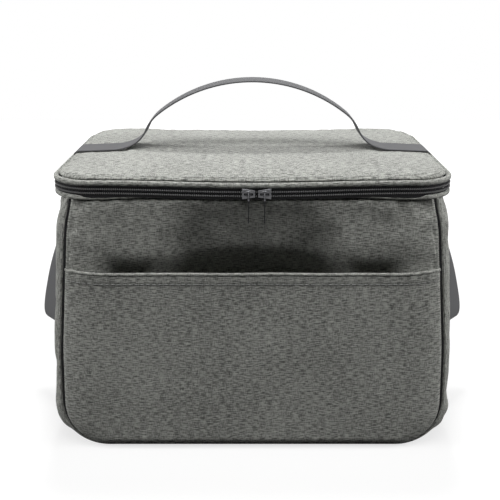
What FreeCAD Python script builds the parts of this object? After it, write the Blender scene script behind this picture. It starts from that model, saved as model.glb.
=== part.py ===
import FreeCAD, Part
import math
import os
import re

import Sketcher
from FreeCAD import Placement, Rotation, Vector

# A soft insulated cooler bag, in millimetres. +X is the bag's right as seen from its front,
# -Y is the front and +Z is up. The origin is the middle of the flat base, on the floor.

SIZES = {
    # the whole bag
    "bag_height": 230,         # floor to the rim of the shut lid
    "lid_width": 320,
    "lid_depth": 230,
    "lid_corner": 36,          # plan radius that the zip runs round
    "fabric": 1.2,             # oxford cloth with its backing
    "foam": 5,                 # closed-cell foam sheet
    "foil": 0.8,               # welded liner film on its woven backing
    "seat": 0.1,               # play between layers that are sewn or glued together
    "clearance": 0.3,          # play between pieces that move past each other
    # the body, below the zip
    "front_inset": 4,          # lid outline in to the front and back of the body
    "top_inset": 4.5,          # lid outline in to the side of the body at its mouth
    "bottom_flare": 7.3,       # lid outline out to the side at the base
    "bottom_corner": 33,       # radius of the gusset at the base, seen from the front
    # the seams between the two panels and the gusset
    "seam_top_inset": 17.5,    # lid outline in to the side seam at the mouth
    "seam_low_inset": 4.5,     # the same low down
    "seam_rise": 4,            # floor to the bottom seam
    "seam_corner": 36,
    "edge_round": 28,          # how far back from its seam the gusset starts to curve in
    "piping": 3.2,             # diameter of the covered cords
    # the slip pocket on the front
    "pocket_height": 153,      # floor to the mouth of the pocket
    "pocket_slack": 5.3,       # room for a hand between pocket and panel
    "pocket_round": 5,
    # the zip, above and below its middle line
    "lid_wall": 10.8,          # lid rim down to the zip's middle line
    "zip_slot": 1.4,           # gap between the two rows of teeth, where a slider's neck runs
    "coil_height": 2.3,
    "coil_depth": 2.2,
    "tape": 0.7,
    "tape_hidden": 1.9,        # how far a tape runs behind the band or the lip
    "tape_setback": 2.2,       # lid outline in to the face of the tape
    "zip_above": 5,            # middle line up to the foot of the band
    "zip_below": 3,            # middle line down to the top of the lip
    "band_height": 1.9,
    "band_setback": 0.9,
    "lip_height": 3.6,
    # bindings and what lies behind the sliders
    "binding": 1.5,
    "wall_setback": 5,         # lid outline in to the first layer behind a slider
    "lid_gap": 3.3,            # middle line up to the underside of the lid's lining
    # webbing handle on the lid
    "strap_width": 32,
    "strap": 1.6,
    "handle_rise": 63.5,       # lid rim to the crown
    "handle_reach": 122,       # middle of the lid to where the strap lies flat
    "shoulder_drop": 21,       # the crown's top down to the top of the shoulders' circles
    "shoulder_radius": 35.5,
    "foot_radius": 31.5,
    # webbing loops at the sides
    "loop_width": 35,
    "loop_drop": 126.5,        # pivot down to the middle of the round end
    "loop_lean": 21.4,         # how far out that middle hangs from the pivot
    "loop_radius": 11.5,
    "loop_eye": 0.3,           # half the gap between the strands at the sewn end
    "anchor_height": 4,
    # sliders and pullers
    "slider_length": 10.7,
    "slider_height": 9,
    "slider_tail": 6.4,        # height of a slider's narrow end
    "plate": 1.1,
    "neck_height": 1,
    "neck_length": 2.4,
    "bridge_bar": 0.9,
    "bridge_width": 1.8,
    "bridge_setback": 0.6,     # a slider's end in to the foot of its bridge
    "slider_waist": 0.6,       # middle of a slider to where it starts to narrow
    "slider_middle": 3.1,      # middle of the pair, right of the bag's middle
    "slider_pitch": 12.4,      # between the sliders, nose to nose
    "puller_length": 24,       # pivot to tip
    "puller": 1.7,
    "puller_wall": 0.85,       # round the hole that the bridge passes through
    "puller_taper": 0.43,      # how much narrower its tip is on each side
    "puller_hole": 0.8,        # radius, at the tip
}

doc = FreeCAD.newDocument("cooler_bag")
sheet = doc.addObject("Spreadsheet::Sheet", "Sizes")
for row, (word, size) in enumerate(SIZES.items(), start=1):
    sheet.set(f"A{row}", word)
    sheet.set(f"B{row}", str(size))
    sheet.setAlias(f"B{row}", word)
doc.recompute()


def bound(text):
    """An expression whose size names point at their cells."""
    return re.sub(r"[a-z_]+", lambda m: "Sizes." + m[0] if m[0] in SIZES else m[0], text)


def number(text):
    """What such an expression comes to."""
    return float(sheet.evalExpression(bound(text)))


# Heights and distances that several pieces share.
LID_HALF = "(lid_width / 2)"
LID_FRONT = "(lid_depth / 2)"
BODY_FRONT = f"({LID_FRONT} - front_inset)"
SIDE_TOP = f"({LID_HALF} - top_inset)"
SIDE_LOW = f"({LID_HALF} + bottom_flare)"
SEAM_TOP = f"({LID_HALF} - seam_top_inset)"
SEAM_LOW = f"({LID_HALF} - seam_low_inset)"
HINGE_HALF = f"({LID_HALF} - lid_corner)"
ZIP_LINE = "(bag_height - lid_wall)"
BAND_FOOT = f"({ZIP_LINE} + zip_above)"
LIP_FOOT = f"({ZIP_LINE} - zip_below - lip_height)"
MOUTH = f"({LIP_FOOT} - seat)"
SEAM_PLANE = f"({BODY_FRONT} - fabric - seat)"
LINER_FRONT = f"({SEAM_PLANE} - seat - foam - seat)"
PIPING_HEIGHT = f"({BAND_FOOT} + band_height + seat + piping / 2)"
LID_UNDER = f"({ZIP_LINE} + lid_gap)"
PANEL_SETBACK = "(piping + seat)"
HANDLE_AXIS = "(bag_height + clearance + strap_width / 2)"
LOOP_TOP = "(strap + loop_eye)"
ANCHOR_FOOT = f"({MOUTH} - anchor_height)"
LOOP_Z = f"({ANCHOR_FOOT} - clearance - {LOOP_TOP})"
TAPE_FACE = f"({LID_FRONT} - tape_setback)"
PLATE_FACE = f"({TAPE_FACE} + coil_depth + clearance)"
BACK_FACE = f"({TAPE_FACE} - tape - clearance)"
EYE_HOLE = "(sqrt(bridge_bar * bridge_bar + bridge_width * bridge_width) / 2 + clearance)"
EYE_EDGE = f"({EYE_HOLE} + puller_wall)"
BRIDGE_Y = f"({PLATE_FACE} + plate + clearance + {EYE_EDGE})"



def side_at(height):
    """The distance from the bag's middle to its sloping side at a height."""
    slope = f"({SIDE_LOW} - {SIDE_TOP}) / ({MOUTH} - bottom_corner)"
    return f"({SIDE_TOP} + {slope} * ({MOUTH} - {height}))"


LOOP_X = f"({side_at(LOOP_Z)} + {LOOP_TOP} + clearance)"
nodes = {}


def bind(obj, prop, text):
    obj.setExpression(prop, bound(text))


def keep(label, obj):
    """Name a finished sub-part. Its label becomes its file's name."""
    obj.Label = label
    nodes[label] = obj
    return obj


def constrain(sketch, kind, *where, size=None):
    """Add a constraint; one with a size follows the sheet."""
    if size is None:
        sketch.addConstraint(Sketcher.Constraint(kind, *where))
        return
    index = sketch.addConstraint(Sketcher.Constraint(kind, *where, number(size)))
    sketch.setExpression(f"Constraints[{index}]", bound(size))


def place_point(sketch, geometry, end, across, up):
    """Hold a point at signed distances from the sketch's origin."""
    for kind, text in (("DistanceX", across), ("DistanceY", up)):
        constrain(sketch, kind, -1, 1, geometry, end, size=text)


def body_sketch(body, role, offset="0 * seat"):
    """An empty sketch on one of the body's own origin planes, moved along its normal."""
    sketch = body.newObject("Sketcher::SketchObject", body.Name + "_outline")
    support = next(f for f in body.Origin.OriginFeatures if f.Role == role)
    sketch.AttachmentSupport = (support, [""])
    sketch.MapMode = "FlatFace"
    bind(sketch, "AttachmentOffset.Base.z", offset)
    return sketch


def upright_sketch(name, depth):
    """A free sketch that faces the front, at a signed Y."""
    sketch = doc.addObject("Sketcher::SketchObject", name)
    sketch.Placement = Placement(Vector(), Rotation(Vector(1, 0, 0), 90))
    bind(sketch, "Placement.Base.y", depth)
    return sketch


def line(sketch, start, end):
    return sketch.addGeometry(Part.LineSegment(Vector(*start), Vector(*end)))


def arc(sketch, centre, radius, start, end):
    """An arc drawn anticlockwise between two angles in degrees."""
    circle = Part.Circle(Vector(*centre), Vector(0, 0, 1), radius)
    return sketch.addGeometry(Part.ArcOfCircle(circle, math.radians(start), math.radians(end)))


def loop(sketch, points):
    """A closed polygon whose corners are held at (across, up) expressions."""
    spots = [(number(x), number(y)) for x, y in points]
    for start, end in zip(spots, spots[1:] + spots[:1]):
        last = line(sketch, (*start, 0), (*end, 0))
    first = last - len(points) + 1
    for index, (across, up) in enumerate(points):
        constrain(sketch, "Coincident", first + index - 1 if index else last, 2, first + index, 1)
        place_point(sketch, first + index, 1, across, up)


def rounded_rectangle(sketch, half_x, half_y, radius):
    """A rectangle about the origin with round corners."""
    x, y, r = number(half_x), number(half_y), number(radius)
    low = line(sketch, (r - x, -y, 0), (x - r, -y, 0))
    right = line(sketch, (x, r - y, 0), (x, y - r, 0))
    high = line(sketch, (x - r, y, 0), (r - x, y, 0))
    left = line(sketch, (-x, y - r, 0), (-x, r - y, 0))
    turns = [arc(sketch, (sx * (x - r), sy * (y - r), 0), r, start, start + 90)
             for sx, sy, start in ((1, -1, -90), (1, 1, 0), (-1, 1, 90), (-1, -1, 180))]
    sides = (low, right, high, left)
    for side, turn, following in zip(sides, turns, sides[1:] + sides[:1]):
        constrain(sketch, "Tangent", side, 2, turn, 1)
        constrain(sketch, "Tangent", turn, 2, following, 1)
    for side in (low, high):
        constrain(sketch, "Horizontal", side)
    for side in (left, right):
        constrain(sketch, "Vertical", side)
    for turn in turns[1:]:
        constrain(sketch, "Equal", turns[0], turn)
    constrain(sketch, "Radius", turns[0], size=radius)
    place_point(sketch, turns[0], 3, f"{half_x} - ({radius})", f"({radius}) - {half_y}")
    place_point(sketch, turns[2], 3, f"({radius}) - {half_x}", f"{half_y} - ({radius})")


def tub_outline(sketch, half_top, half_low, low, top, radius, closed=True):
    """A flaring U with round lower corners, closed along its top unless it is a path."""
    wide, narrow, foot = number(half_low), number(half_top), number(low)
    head, r = number(top), number(radius)
    left = line(sketch, (-narrow, head, 0), (-wide, foot + r, 0))
    left_turn = arc(sketch, (r - wide, foot + r, 0), r, 180, 270)
    base = line(sketch, (r - wide, foot, 0), (wide - r, foot, 0))
    right_turn = arc(sketch, (wide - r, foot + r, 0), r, 270, 360)
    right = line(sketch, (wide, foot + r, 0), (narrow, head, 0))
    for before, after in zip((left, left_turn, base, right_turn),
                             (left_turn, base, right_turn, right)):
        constrain(sketch, "Tangent", before, 2, after, 1)
    constrain(sketch, "Horizontal", base)
    constrain(sketch, "Radius", left_turn, size=radius)
    constrain(sketch, "Equal", left_turn, right_turn)
    place_point(sketch, right_turn, 3, f"{half_low} - ({radius})", f"{low} + ({radius})")
    constrain(sketch, "DistanceX", left_turn, 3, -1, 1, size=f"{half_low} - ({radius})")
    place_point(sketch, right, 2, half_top, top)
    constrain(sketch, "Symmetric", left, 1, right, 2, -2)
    if closed:
        mouth = line(sketch, (narrow, head, 0), (-narrow, head, 0))
        constrain(sketch, "Coincident", right, 2, mouth, 1)
        constrain(sketch, "Coincident", mouth, 2, left, 1)


def pad(body, sketch, length, both_ways=False, reverse=False):
    feature = body.newObject("PartDesign::Pad", body.Name + "_pad")
    feature.Profile = sketch
    bind(feature, "Length", length)
    feature.Midplane = both_ways
    feature.Reversed = reverse
    return feature


def pocket(body, sketch, length, both_ways=False, reverse=False):
    """Cut the sketch out of the body, and make sure that it did cut."""
    doc.recompute()
    before = body.Shape.Volume
    feature = body.newObject("PartDesign::Pocket", body.Name + "_pocket")
    feature.Profile = sketch
    bind(feature, "Length", length)
    feature.Midplane = both_ways
    feature.Reversed = reverse
    doc.recompute()
    if not body.Shape.Volume < before:
        raise RuntimeError(f"{body.Label}: the pocket removed nothing")
    return feature


def combine(kind, name, base, tool):
    """A Part::Cut or Part::Common of two objects."""
    feature = doc.addObject(kind, name)
    feature.Base = base
    feature.Tool = tool
    return feature


def new_body(name):
    return doc.addObject("PartDesign::Body", name)


def box(name, length, width, height, x, y, z):
    """A box by its three sides and its lowest corner."""
    piece = doc.addObject("Part::Box", name)
    for prop, text in (("Length", length), ("Width", width), ("Height", height),
                       ("Placement.Base.x", x), ("Placement.Base.y", y),
                       ("Placement.Base.z", z)):
        bind(piece, prop, text)
    return piece


# ---------------------------------------------------------------- body walls

STATIONS = (0, 35, 65, 90)     # degrees round the gusset's curve, from its straight to its seam


def gusset_section(name, inset, top, turn, side):
    """The bag's outline, seen from the front, at one station of the gusset's curve."""
    come_in = 1 - math.cos(math.radians(turn))
    sketch = upright_sketch(
        name, f"{side} * ({SEAM_PLANE} - edge_round * {1 - math.sin(math.radians(turn))})")
    tub_outline(
        sketch,
        f"({SIDE_TOP} - {come_in} * ({SIDE_TOP} - {SEAM_TOP}) - ({inset}))",
        f"({SIDE_LOW} - {come_in} * ({SIDE_LOW} - {SEAM_LOW}) - ({inset}))",
        f"({come_in} * seam_rise + {inset})",
        top,
        f"(bottom_corner - {come_in} * (bottom_corner - seam_corner) - ({inset}))")
    return sketch


def gusset_form(name, inset, top=MOUTH):
    """The filled form of the bag, its skin moved in by the inset, from seam to seam."""
    spots = [(turn, -1) for turn in reversed(STATIONS)] + [(turn, 1) for turn in STATIONS]
    form = doc.addObject("Part::Loft", name)
    form.Sections = [gusset_section(f"{name}_section", inset, top, turn, side)
                     for turn, side in spots]
    form.Solid = True
    form.Ruled = True
    return form


def slab(name, half_depth):
    """All that lies between two upright planes, to trim a form with."""
    return box(name, "2 * lid_width", f"2 * {half_depth}", "2 * bag_height",
               "-1 * lid_width", f"-1 * {half_depth}", "-1 * bag_height")


def above(text):
    """A height clear above another, so that a cutter leaves the mouth open."""
    return f"({text} + foam)"


FOAM_FACE = "(fabric + seat)"
LINER_FACE = f"({FOAM_FACE} + foam + seat)"

gusset = combine("Part::Cut", "gusset_shell", gusset_form("gusset_outside", "0 * seat"),
                 gusset_form("gusset_inside", "fabric", above(MOUTH)))
keep("gusset", gusset)

foam_strip = combine("Part::Cut", "foam_strip", gusset_form("foam_outside", FOAM_FACE),
                     gusset_form("foam_inside", f"{FOAM_FACE} + foam", above(MOUTH)))
keep("foam_gusset", combine("Part::Common", "foam_trimmed", foam_strip,
                            slab("foam_limits", f"({SEAM_PLANE} - seat - foam - seat)")))

liner_outside = combine("Part::Common", "liner_outside",
                        gusset_form("liner_form", LINER_FACE),
                        slab("liner_limits", LINER_FRONT))
liner_inside = combine("Part::Common", "liner_inside",
                       gusset_form("liner_room", f"{LINER_FACE} + foil", above(MOUTH)),
                       slab("liner_room_limits", f"({LINER_FRONT} - foil)"))
keep("liner_tub", combine("Part::Cut", "liner_welded", liner_outside, liner_inside))


def panel(label, front_face, thickness, inset, side):
    """A flat sheet of the seam's outline, its outer face at that distance from the middle."""
    body = new_body(label)
    sketch = body_sketch(body, "XZ_Plane", f"{-side} * {front_face}")
    tub_outline(sketch, f"({SEAM_TOP} - ({inset}))", f"({SEAM_LOW} - ({inset}))",
                f"(seam_rise + {inset})", MOUTH, f"(seam_corner - ({inset}))")
    pad(body, sketch, thickness, reverse=side < 0)
    return keep(label, body)


for place, side in (("front", -1), ("back", 1)):
    panel(f"{place}_panel", BODY_FRONT, "fabric", "0 * seat", side)
    panel(f"foam_{place}", f"({SEAM_PLANE} - seat)", "foam", FOAM_FACE, side)


def pocket_form(name, inset, depth, top):
    """A shallow tray with soft edges that stands on the front panel."""
    body = new_body(name)
    sketch = body_sketch(body, "XZ_Plane", f"{BODY_FRONT} + seat")
    tub_outline(sketch, f"({SEAM_TOP} - ({inset}))", f"({SEAM_LOW} - ({inset}))",
                f"(seam_rise + {inset})", top, f"(seam_corner - ({inset}))")
    block = pad(body, sketch, depth)
    doc.recompute()
    face = -number(f"{BODY_FRONT} + seat + {depth}")
    edges = [f"Edge{i}" for i, edge in enumerate(block.Shape.Edges, start=1)
             if abs(edge.BoundBox.YMin - face) < 0.01 and abs(edge.BoundBox.YMax - face) < 0.01
             and edge.BoundBox.ZMin < number(top) - 1]
    soft = body.newObject("PartDesign::Fillet", name + "_soft")
    soft.Base = (block, edges)
    bind(soft, "Radius", f"pocket_round - ({inset}) + seat")
    return body


pocket_outside = pocket_form("pocket_outside", "seat", "(pocket_slack + fabric)", "pocket_height")
pocket_inside = pocket_form("pocket_inside", "(fabric + seat)", "pocket_slack",
                            above("pocket_height"))
keep("front_pocket", combine("Part::Cut", "pocket_sheet", pocket_outside, pocket_inside))


# ---------------------------------------------------------------- rings round the mouth

def ring(label, setback, thickness, foot, rise, open_back=False):
    """An upright band that follows the lid's outline at a setback from it."""
    body = new_body(label)
    sketch = body_sketch(body, "XY_Plane", foot)
    for inset in (setback, f"({setback} + {thickness})"):
        rounded_rectangle(sketch, f"({LID_HALF} - {inset})", f"({LID_FRONT} - {inset})",
                          f"(lid_corner - {inset})")
    pad(body, sketch, rise)
    if open_back:
        gap = body_sketch(body, "XY_Plane")
        start, near, far = f"-1 * {HINGE_HALF}", f"({LID_FRONT} - lid_corner / 2)", "lid_depth"
        loop(gap, [(start, near), (HINGE_HALF, near), (HINGE_HALF, far), (start, far)])
        pocket(body, gap, "3 * bag_height", both_ways=True)
    return keep(label, body)


def cloth_strip(label, foot, rise):
    """A strip of cloth across the back, where the zip leaves off."""
    return keep(label, box(label, f"2 * ({HINGE_HALF} - clearance)", "fabric", rise,
                           f"clearance - {HINGE_HALF}", f"{TAPE_FACE} - fabric", foot))


ring("zip_lip", "(tape_setback - seat - fabric)", "fabric", LIP_FOOT, "lip_height")
ring("lid_band", "band_setback", "fabric", BAND_FOOT, "band_height")
UPPER_REACH, LOWER_REACH = "(zip_above + tape_hidden)", "(zip_below + tape_hidden)"
ring("zip_tape_lower", "tape_setback", "tape", f"{ZIP_LINE} - {LOWER_REACH}",
     f"({LOWER_REACH} - zip_slot / 2)", True)
ring("zip_tape_upper", "tape_setback", "tape", f"{ZIP_LINE} + zip_slot / 2",
     f"({UPPER_REACH} - zip_slot / 2)", True)
COIL_FACE = "(tape_setback - coil_depth)"
ring("zip_coil_lower", COIL_FACE, "coil_depth", f"{ZIP_LINE} - zip_slot / 2 - coil_height",
     "coil_height", True)
ring("zip_coil_upper", COIL_FACE, "coil_depth", f"{ZIP_LINE} + zip_slot / 2", "coil_height", True)
cloth_strip("hinge_cloth_lower", f"{ZIP_LINE} - {LOWER_REACH}", f"{LOWER_REACH} - clearance")
cloth_strip("hinge_cloth_upper", f"{ZIP_LINE} + clearance", f"{UPPER_REACH} - clearance")

ring("mouth_binding", "wall_setback", f"({LID_FRONT} - {LINER_FRONT} + foil - wall_setback)",
     f"{MOUTH} + seat", "binding")


# ---------------------------------------------------------------- lid

def lid_sheet(label, setback, foot, thickness):
    """A flat sheet of the lid's outline, less a setback."""
    body = new_body(label)
    sketch = body_sketch(body, "XY_Plane", foot)
    rounded_rectangle(sketch, f"({LID_HALF} - {setback})", f"({LID_FRONT} - {setback})",
                      f"(lid_corner - {setback})")
    pad(body, sketch, thickness)
    return keep(label, body)


LINER_SETBACK = "(wall_setback + binding + seat)"
lid_sheet("lid_panel", PANEL_SETBACK, "bag_height - fabric", "fabric")
lid_sheet("lid_liner", LINER_SETBACK, LID_UNDER, "foil")
lid_sheet("lid_foam", "wall_setback", f"{LID_UNDER} + foil + seat",
          f"(bag_height - fabric - seat) - ({LID_UNDER} + foil + seat)")
ring("lid_binding", "wall_setback", "binding", LID_UNDER, "foil")


def section_sketch(name, x, y, z, across_x=False):
    """A free sketch centred on a path's start, lying flat or, across X, standing upright."""
    sketch = doc.addObject("Sketcher::SketchObject", name)
    sketch.Placement = Placement(Vector(), Rotation(Vector(0, 1, 0), 90 if across_x else 0))
    for letter, text in zip("xyz", (x, y, z)):
        bind(sketch, f"Placement.Base.{letter}", text)
    return sketch


def round_section(sketch, radius):
    circle = sketch.addGeometry(Part.Circle(Vector(), Vector(0, 0, 1), number(radius)))
    constrain(sketch, "Coincident", circle, 3, -1, 1)
    constrain(sketch, "Radius", circle, size=radius)


def sweep(name, section, path):
    """Carry a section along every edge of a path."""
    doc.recompute()
    solid = doc.addObject("Part::Sweep", name)
    solid.Sections = [section]
    solid.Spine = (path, [f"Edge{i + 1}" for i in range(len(path.Shape.Edges))])
    solid.Solid = True
    return solid


def seam_piping(label, side):
    """A covered cord that stands in the seam, from the mouth round the base and back up."""
    out, depth = "(seat + piping / 2)", f"{side} * {BODY_FRONT}"
    path = upright_sketch(label + "_path", depth)
    tub_outline(path, f"({SEAM_TOP} + {out})", f"({SEAM_LOW} + {out})",
                f"(seam_rise - {out})", MOUTH, f"(seam_corner + {out})", closed=False)
    section = section_sketch(label + "_section", f"-1 * ({SEAM_TOP} + {out})", depth, MOUTH)
    round_section(section, "piping / 2")
    keep(label, sweep(label + "_cord", section, path))


def rim_piping(label):
    """The covered cord round the lid's rim, one closed sweep."""
    across, along = f"({LID_HALF} - piping / 2)", f"({LID_FRONT} - piping / 2)"
    path = section_sketch(label + "_path", "0 * seat", "0 * seat", PIPING_HEIGHT)
    rounded_rectangle(path, across, along, "(lid_corner - piping / 2)")
    section = section_sketch(label + "_section", f"lid_corner - {LID_HALF}", f"-1 * {along}",
                             PIPING_HEIGHT, across_x=True)
    round_section(section, "piping / 2")
    keep(label, sweep(label + "_cord", section, path))


seam_piping("front_piping", -1)
seam_piping("back_piping", 1)
rim_piping("lid_piping")


# ---------------------------------------------------------------- webbing

TAB_START = "(handle_reach + clearance)"
TAB_END = f"({LID_HALF} - {PANEL_SETBACK})"
for label, start in (("handle_tab_left", f"-1 * {TAB_END}"), ("handle_tab_right", TAB_START)):
    keep(label, box(label, f"{TAB_END} - {TAB_START}", "strap_width", "strap",
                    start, "-strap_width / 2", "bag_height"))


def heading(vector):
    return math.degrees(math.atan2(vector.y, vector.x))


ARCH_TOP = "(bag_height + handle_rise - strap / 2)"
FOOT_HEIGHT = "(bag_height + clearance + strap / 2)"
FOOT_MIDDLE = f"({FOOT_HEIGHT} + foot_radius)"
SHOULDER_MIDDLE = f"({ARCH_TOP} - shoulder_drop - shoulder_radius)"
SHOULDER_X = (f"(handle_reach - sqrt((shoulder_radius + foot_radius) ^ 2"
              f" - ({FOOT_MIDDLE} - {SHOULDER_MIDDLE}) ^ 2))")
CROWN_RADIUS = (f"(shoulder_radius + ({SHOULDER_X} ^ 2 + shoulder_drop ^ 2)"
                f" / (2 * shoulder_drop))")


def arch_path(sketch):
    """The handle's line as five tangent arcs: foot, shoulder, crown, shoulder and foot."""
    crown_r, shoulder_r = number(CROWN_RADIUS), number("shoulder_radius")
    foot_r = number("foot_radius")
    crown_middle = Vector(0, number(ARCH_TOP) - crown_r, 0)
    shoulder_middle = Vector(number(SHOULDER_X), number(SHOULDER_MIDDLE), 0)
    foot_middle = Vector(number("handle_reach"), number(FOOT_MIDDLE), 0)
    lean = heading(shoulder_middle - crown_middle)
    dip = heading(foot_middle - shoulder_middle)
    mirrored = [Vector(-v.x, v.y, 0) for v in (foot_middle, shoulder_middle)]
    arcs = [arc(sketch, foot_middle, foot_r, 180 + dip, 270),
            arc(sketch, shoulder_middle, shoulder_r, dip, lean),
            arc(sketch, crown_middle, crown_r, lean, 180 - lean),
            arc(sketch, mirrored[1], shoulder_r, 180 - lean, 180 - dip),
            arc(sketch, mirrored[0], foot_r, 270, 360 - dip)]
    right_foot, right_shoulder, crown, left_shoulder, left_foot = arcs
    constrain(sketch, "Tangent", right_foot, 1, right_shoulder, 1)
    constrain(sketch, "Tangent", right_shoulder, 2, crown, 1)
    constrain(sketch, "Tangent", crown, 2, left_shoulder, 1)
    constrain(sketch, "Tangent", left_shoulder, 2, left_foot, 2)
    for middle, mirror, size in ((right_foot, left_foot, "foot_radius"),
                                 (right_shoulder, left_shoulder, "shoulder_radius")):
        constrain(sketch, "Radius", middle, size=size)
        constrain(sketch, "Equal", middle, mirror)
    constrain(sketch, "Radius", crown, size=CROWN_RADIUS)
    constrain(sketch, "PointOnObject", crown, 3, -2)
    constrain(sketch, "DistanceY", -1, 1, crown, 3, size=f"{ARCH_TOP} - {CROWN_RADIUS}")
    constrain(sketch, "Vertical", right_foot, 3, right_foot, 2)
    constrain(sketch, "Vertical", left_foot, 3, left_foot, 1)
    place_point(sketch, right_foot, 3, "handle_reach", FOOT_MIDDLE)
    place_point(sketch, left_foot, 3, "-handle_reach", FOOT_MIDDLE)


arch = upright_sketch("arch_path", "0 * seat")
arch_path(arch)
strap_end = section_sketch("strap_section", "-handle_reach", "0 * seat", FOOT_HEIGHT, True)
half_strap, half_width = "strap / 2", "strap_width / 2"
loop(strap_end, [(f"-{half_strap}", f"-{half_width}"), (half_strap, f"-{half_width}"),
                 (half_strap, half_width), (f"-{half_strap}", half_width)])
arch_strap = sweep("arch_strap", strap_end, arch)

# The strap swings about a line half its width above the lid, so its ends are round about it.
swing_round = doc.addObject("Part::Cylinder", "swing_round")
swing_round.Placement = Placement(Vector(), Rotation(Vector(0, 1, 0), 90))
bind(swing_round, "Radius", half_width)
bind(swing_round, "Height", "lid_width")
bind(swing_round, "Placement.Base.x", f"-1 * {LID_HALF}")
bind(swing_round, "Placement.Base.z", HANDLE_AXIS)
swing_upper = box("swing_upper", "lid_width", "strap_width", "2 * handle_rise",
                  f"-1 * {LID_HALF}", f"-{half_width}", HANDLE_AXIS)
swing_room = combine("Part::Fuse", "swing_room", swing_round, swing_upper)
keep("handle_strap", combine("Part::Common", "handle_web", arch_strap, swing_room))


def tapered_slot(sketch, top, top_radius, low, low_radius):
    """Two arcs joined by their outer tangents, the upper about top and the lower about low."""
    upper = Vector(number(top[0]), number(top[1]), 0)
    lower = Vector(number(low[0]), number(low[1]), 0)
    upper_r, lower_r = number(top_radius), number(low_radius)
    span = (lower - upper).Length
    down = (lower - upper) / span
    sine = (upper_r - lower_r) / span
    turned = Vector(-down.y, down.x, 0) * math.sqrt(1 - sine ** 2)
    right, left = down * sine + turned, down * sine - turned
    head = arc(sketch, upper, upper_r, heading(right), heading(left))
    first = line(sketch, upper + left * upper_r, lower + left * lower_r)
    tail = arc(sketch, lower, lower_r, heading(left), heading(right))
    second = line(sketch, lower + right * lower_r, upper + right * upper_r)
    for before, after in ((head, first), (first, tail), (tail, second), (second, head)):
        constrain(sketch, "Tangent", before, 2, after, 1)
    for turn, radius, (across, up) in ((head, top_radius, top), (tail, low_radius, low)):
        constrain(sketch, "Radius", turn, size=radius)
        place_point(sketch, turn, 3, across, up)


for place, side in (("left", -1), ("right", 1)):
    body = new_body(f"side_loop_{place}")
    sketch = body_sketch(body, "XZ_Plane")
    pivot = (f"{side} * {LOOP_X}", LOOP_Z)
    hang = (f"{side} * ({LOOP_X} + loop_lean)", f"{LOOP_Z} - loop_drop")
    tapered_slot(sketch, pivot, LOOP_TOP, hang, "loop_radius")
    tapered_slot(sketch, pivot, "loop_eye", hang, "(loop_radius - strap)")
    pad(body, sketch, "loop_width", both_ways=True)
    keep(body.Name, body)
    near = f"({side_at(ANCHOR_FOOT)} + seat)"
    keep(f"loop_anchor_{place}", box(
        f"loop_anchor_{place}", "strap", "loop_width", "anchor_height",
        near if side > 0 else f"-1 * ({near} + strap)", "-loop_width / 2", ANCHOR_FOOT))


# ---------------------------------------------------------------- sliders and pullers

def soften(body, edges, radius, name):
    base = body.Tip
    feature = body.newObject("PartDesign::Fillet", name)
    feature.Base = (base, edges)
    bind(feature, "Radius", radius)
    return feature


def edges_along(shape, direction):
    """The names of the straight edges that run one way."""
    return [f"Edge{i}" for i, edge in enumerate(shape.Edges, start=1)
            if isinstance(edge.Curve, Part.Line)
            and abs(edge.tangentAt(edge.FirstParameter).dot(direction)) > 0.999]


def slider(label, side):
    """Two plates that hold the tapes, a neck between them and a bridge for the puller."""
    body = new_body(label)
    middle = f"(slider_middle + {side} * slider_pitch / 2)"
    nose = f"({middle} - {side} * slider_length / 2)"
    tail = f"({middle} + {side} * slider_length / 2)"
    waist = f"({middle} + {side} * slider_waist)"
    outer, inner = f"({PLATE_FACE} + plate)", f"({BACK_FACE} - plate)"
    outline = body_sketch(body, "XZ_Plane", outer)
    high, low = "slider_height / 2", "slider_tail / 2"
    loop(outline, [(nose, f"{ZIP_LINE} - {high}"), (waist, f"{ZIP_LINE} - {high}"),
                   (tail, f"{ZIP_LINE} - {low}"), (tail, f"{ZIP_LINE} + {low}"),
                   (waist, f"{ZIP_LINE} + {high}"), (nose, f"{ZIP_LINE} + {high}")])
    pad(body, outline, f"{outer} - {inner}", reverse=True)
    doc.recompute()
    soften(body, edges_along(body.Shape, Vector(0, 1, 0)), "plate", f"{label}_corners")
    channel = body_sketch(body, "XZ_Plane", PLATE_FACE)
    far = "slider_length"
    loop(channel, [(f"{middle} - {far}", f"{ZIP_LINE} - {far}"),
                   (f"{middle} + {far}", f"{ZIP_LINE} - {far}"),
                   (f"{middle} + {far}", f"{ZIP_LINE} + {far}"),
                   (f"{middle} - {far}", f"{ZIP_LINE} + {far}")])
    front, rear = f"({nose} + {side} * plate)", f"({nose} + {side} * (plate + neck_length))"
    loop(channel, [(front, f"{ZIP_LINE} - neck_height / 2"),
                   (rear, f"{ZIP_LINE} - neck_height / 2"),
                   (rear, f"{ZIP_LINE} + neck_height / 2"),
                   (front, f"{ZIP_LINE} + neck_height / 2")])
    pocket(body, channel, f"{PLATE_FACE} - {BACK_FACE}")
    bridge = body_sketch(body, "XY_Plane", f"{ZIP_LINE} - bridge_width / 2")
    left = f"({middle} - slider_length / 2 + bridge_setback)"
    right = f"({middle} + slider_length / 2 - bridge_setback)"
    foot = f"-1 * ({outer} - plate / 2)"
    bar_in = f"-1 * ({BRIDGE_Y} - bridge_bar / 2)"
    bar_out = f"-1 * ({BRIDGE_Y} + bridge_bar / 2)"
    loop(bridge, [(left, foot), (left, bar_out), (right, bar_out), (right, foot),
                  (f"{right} - bridge_bar", foot), (f"{right} - bridge_bar", bar_in),
                  (f"{left} + bridge_bar", bar_in), (f"{left} + bridge_bar", foot)])
    pad(body, bridge, "bridge_width")
    doc.recompute()
    shoulders = [name for name in edges_along(body.Shape, Vector(0, 0, 1))
                 if body.Shape.getElement(name).BoundBox.YMin < number(bar_out) + 0.01]
    soften(body, shoulders, "bridge_bar", f"{label}_shoulders")
    keep(label, body)


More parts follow.
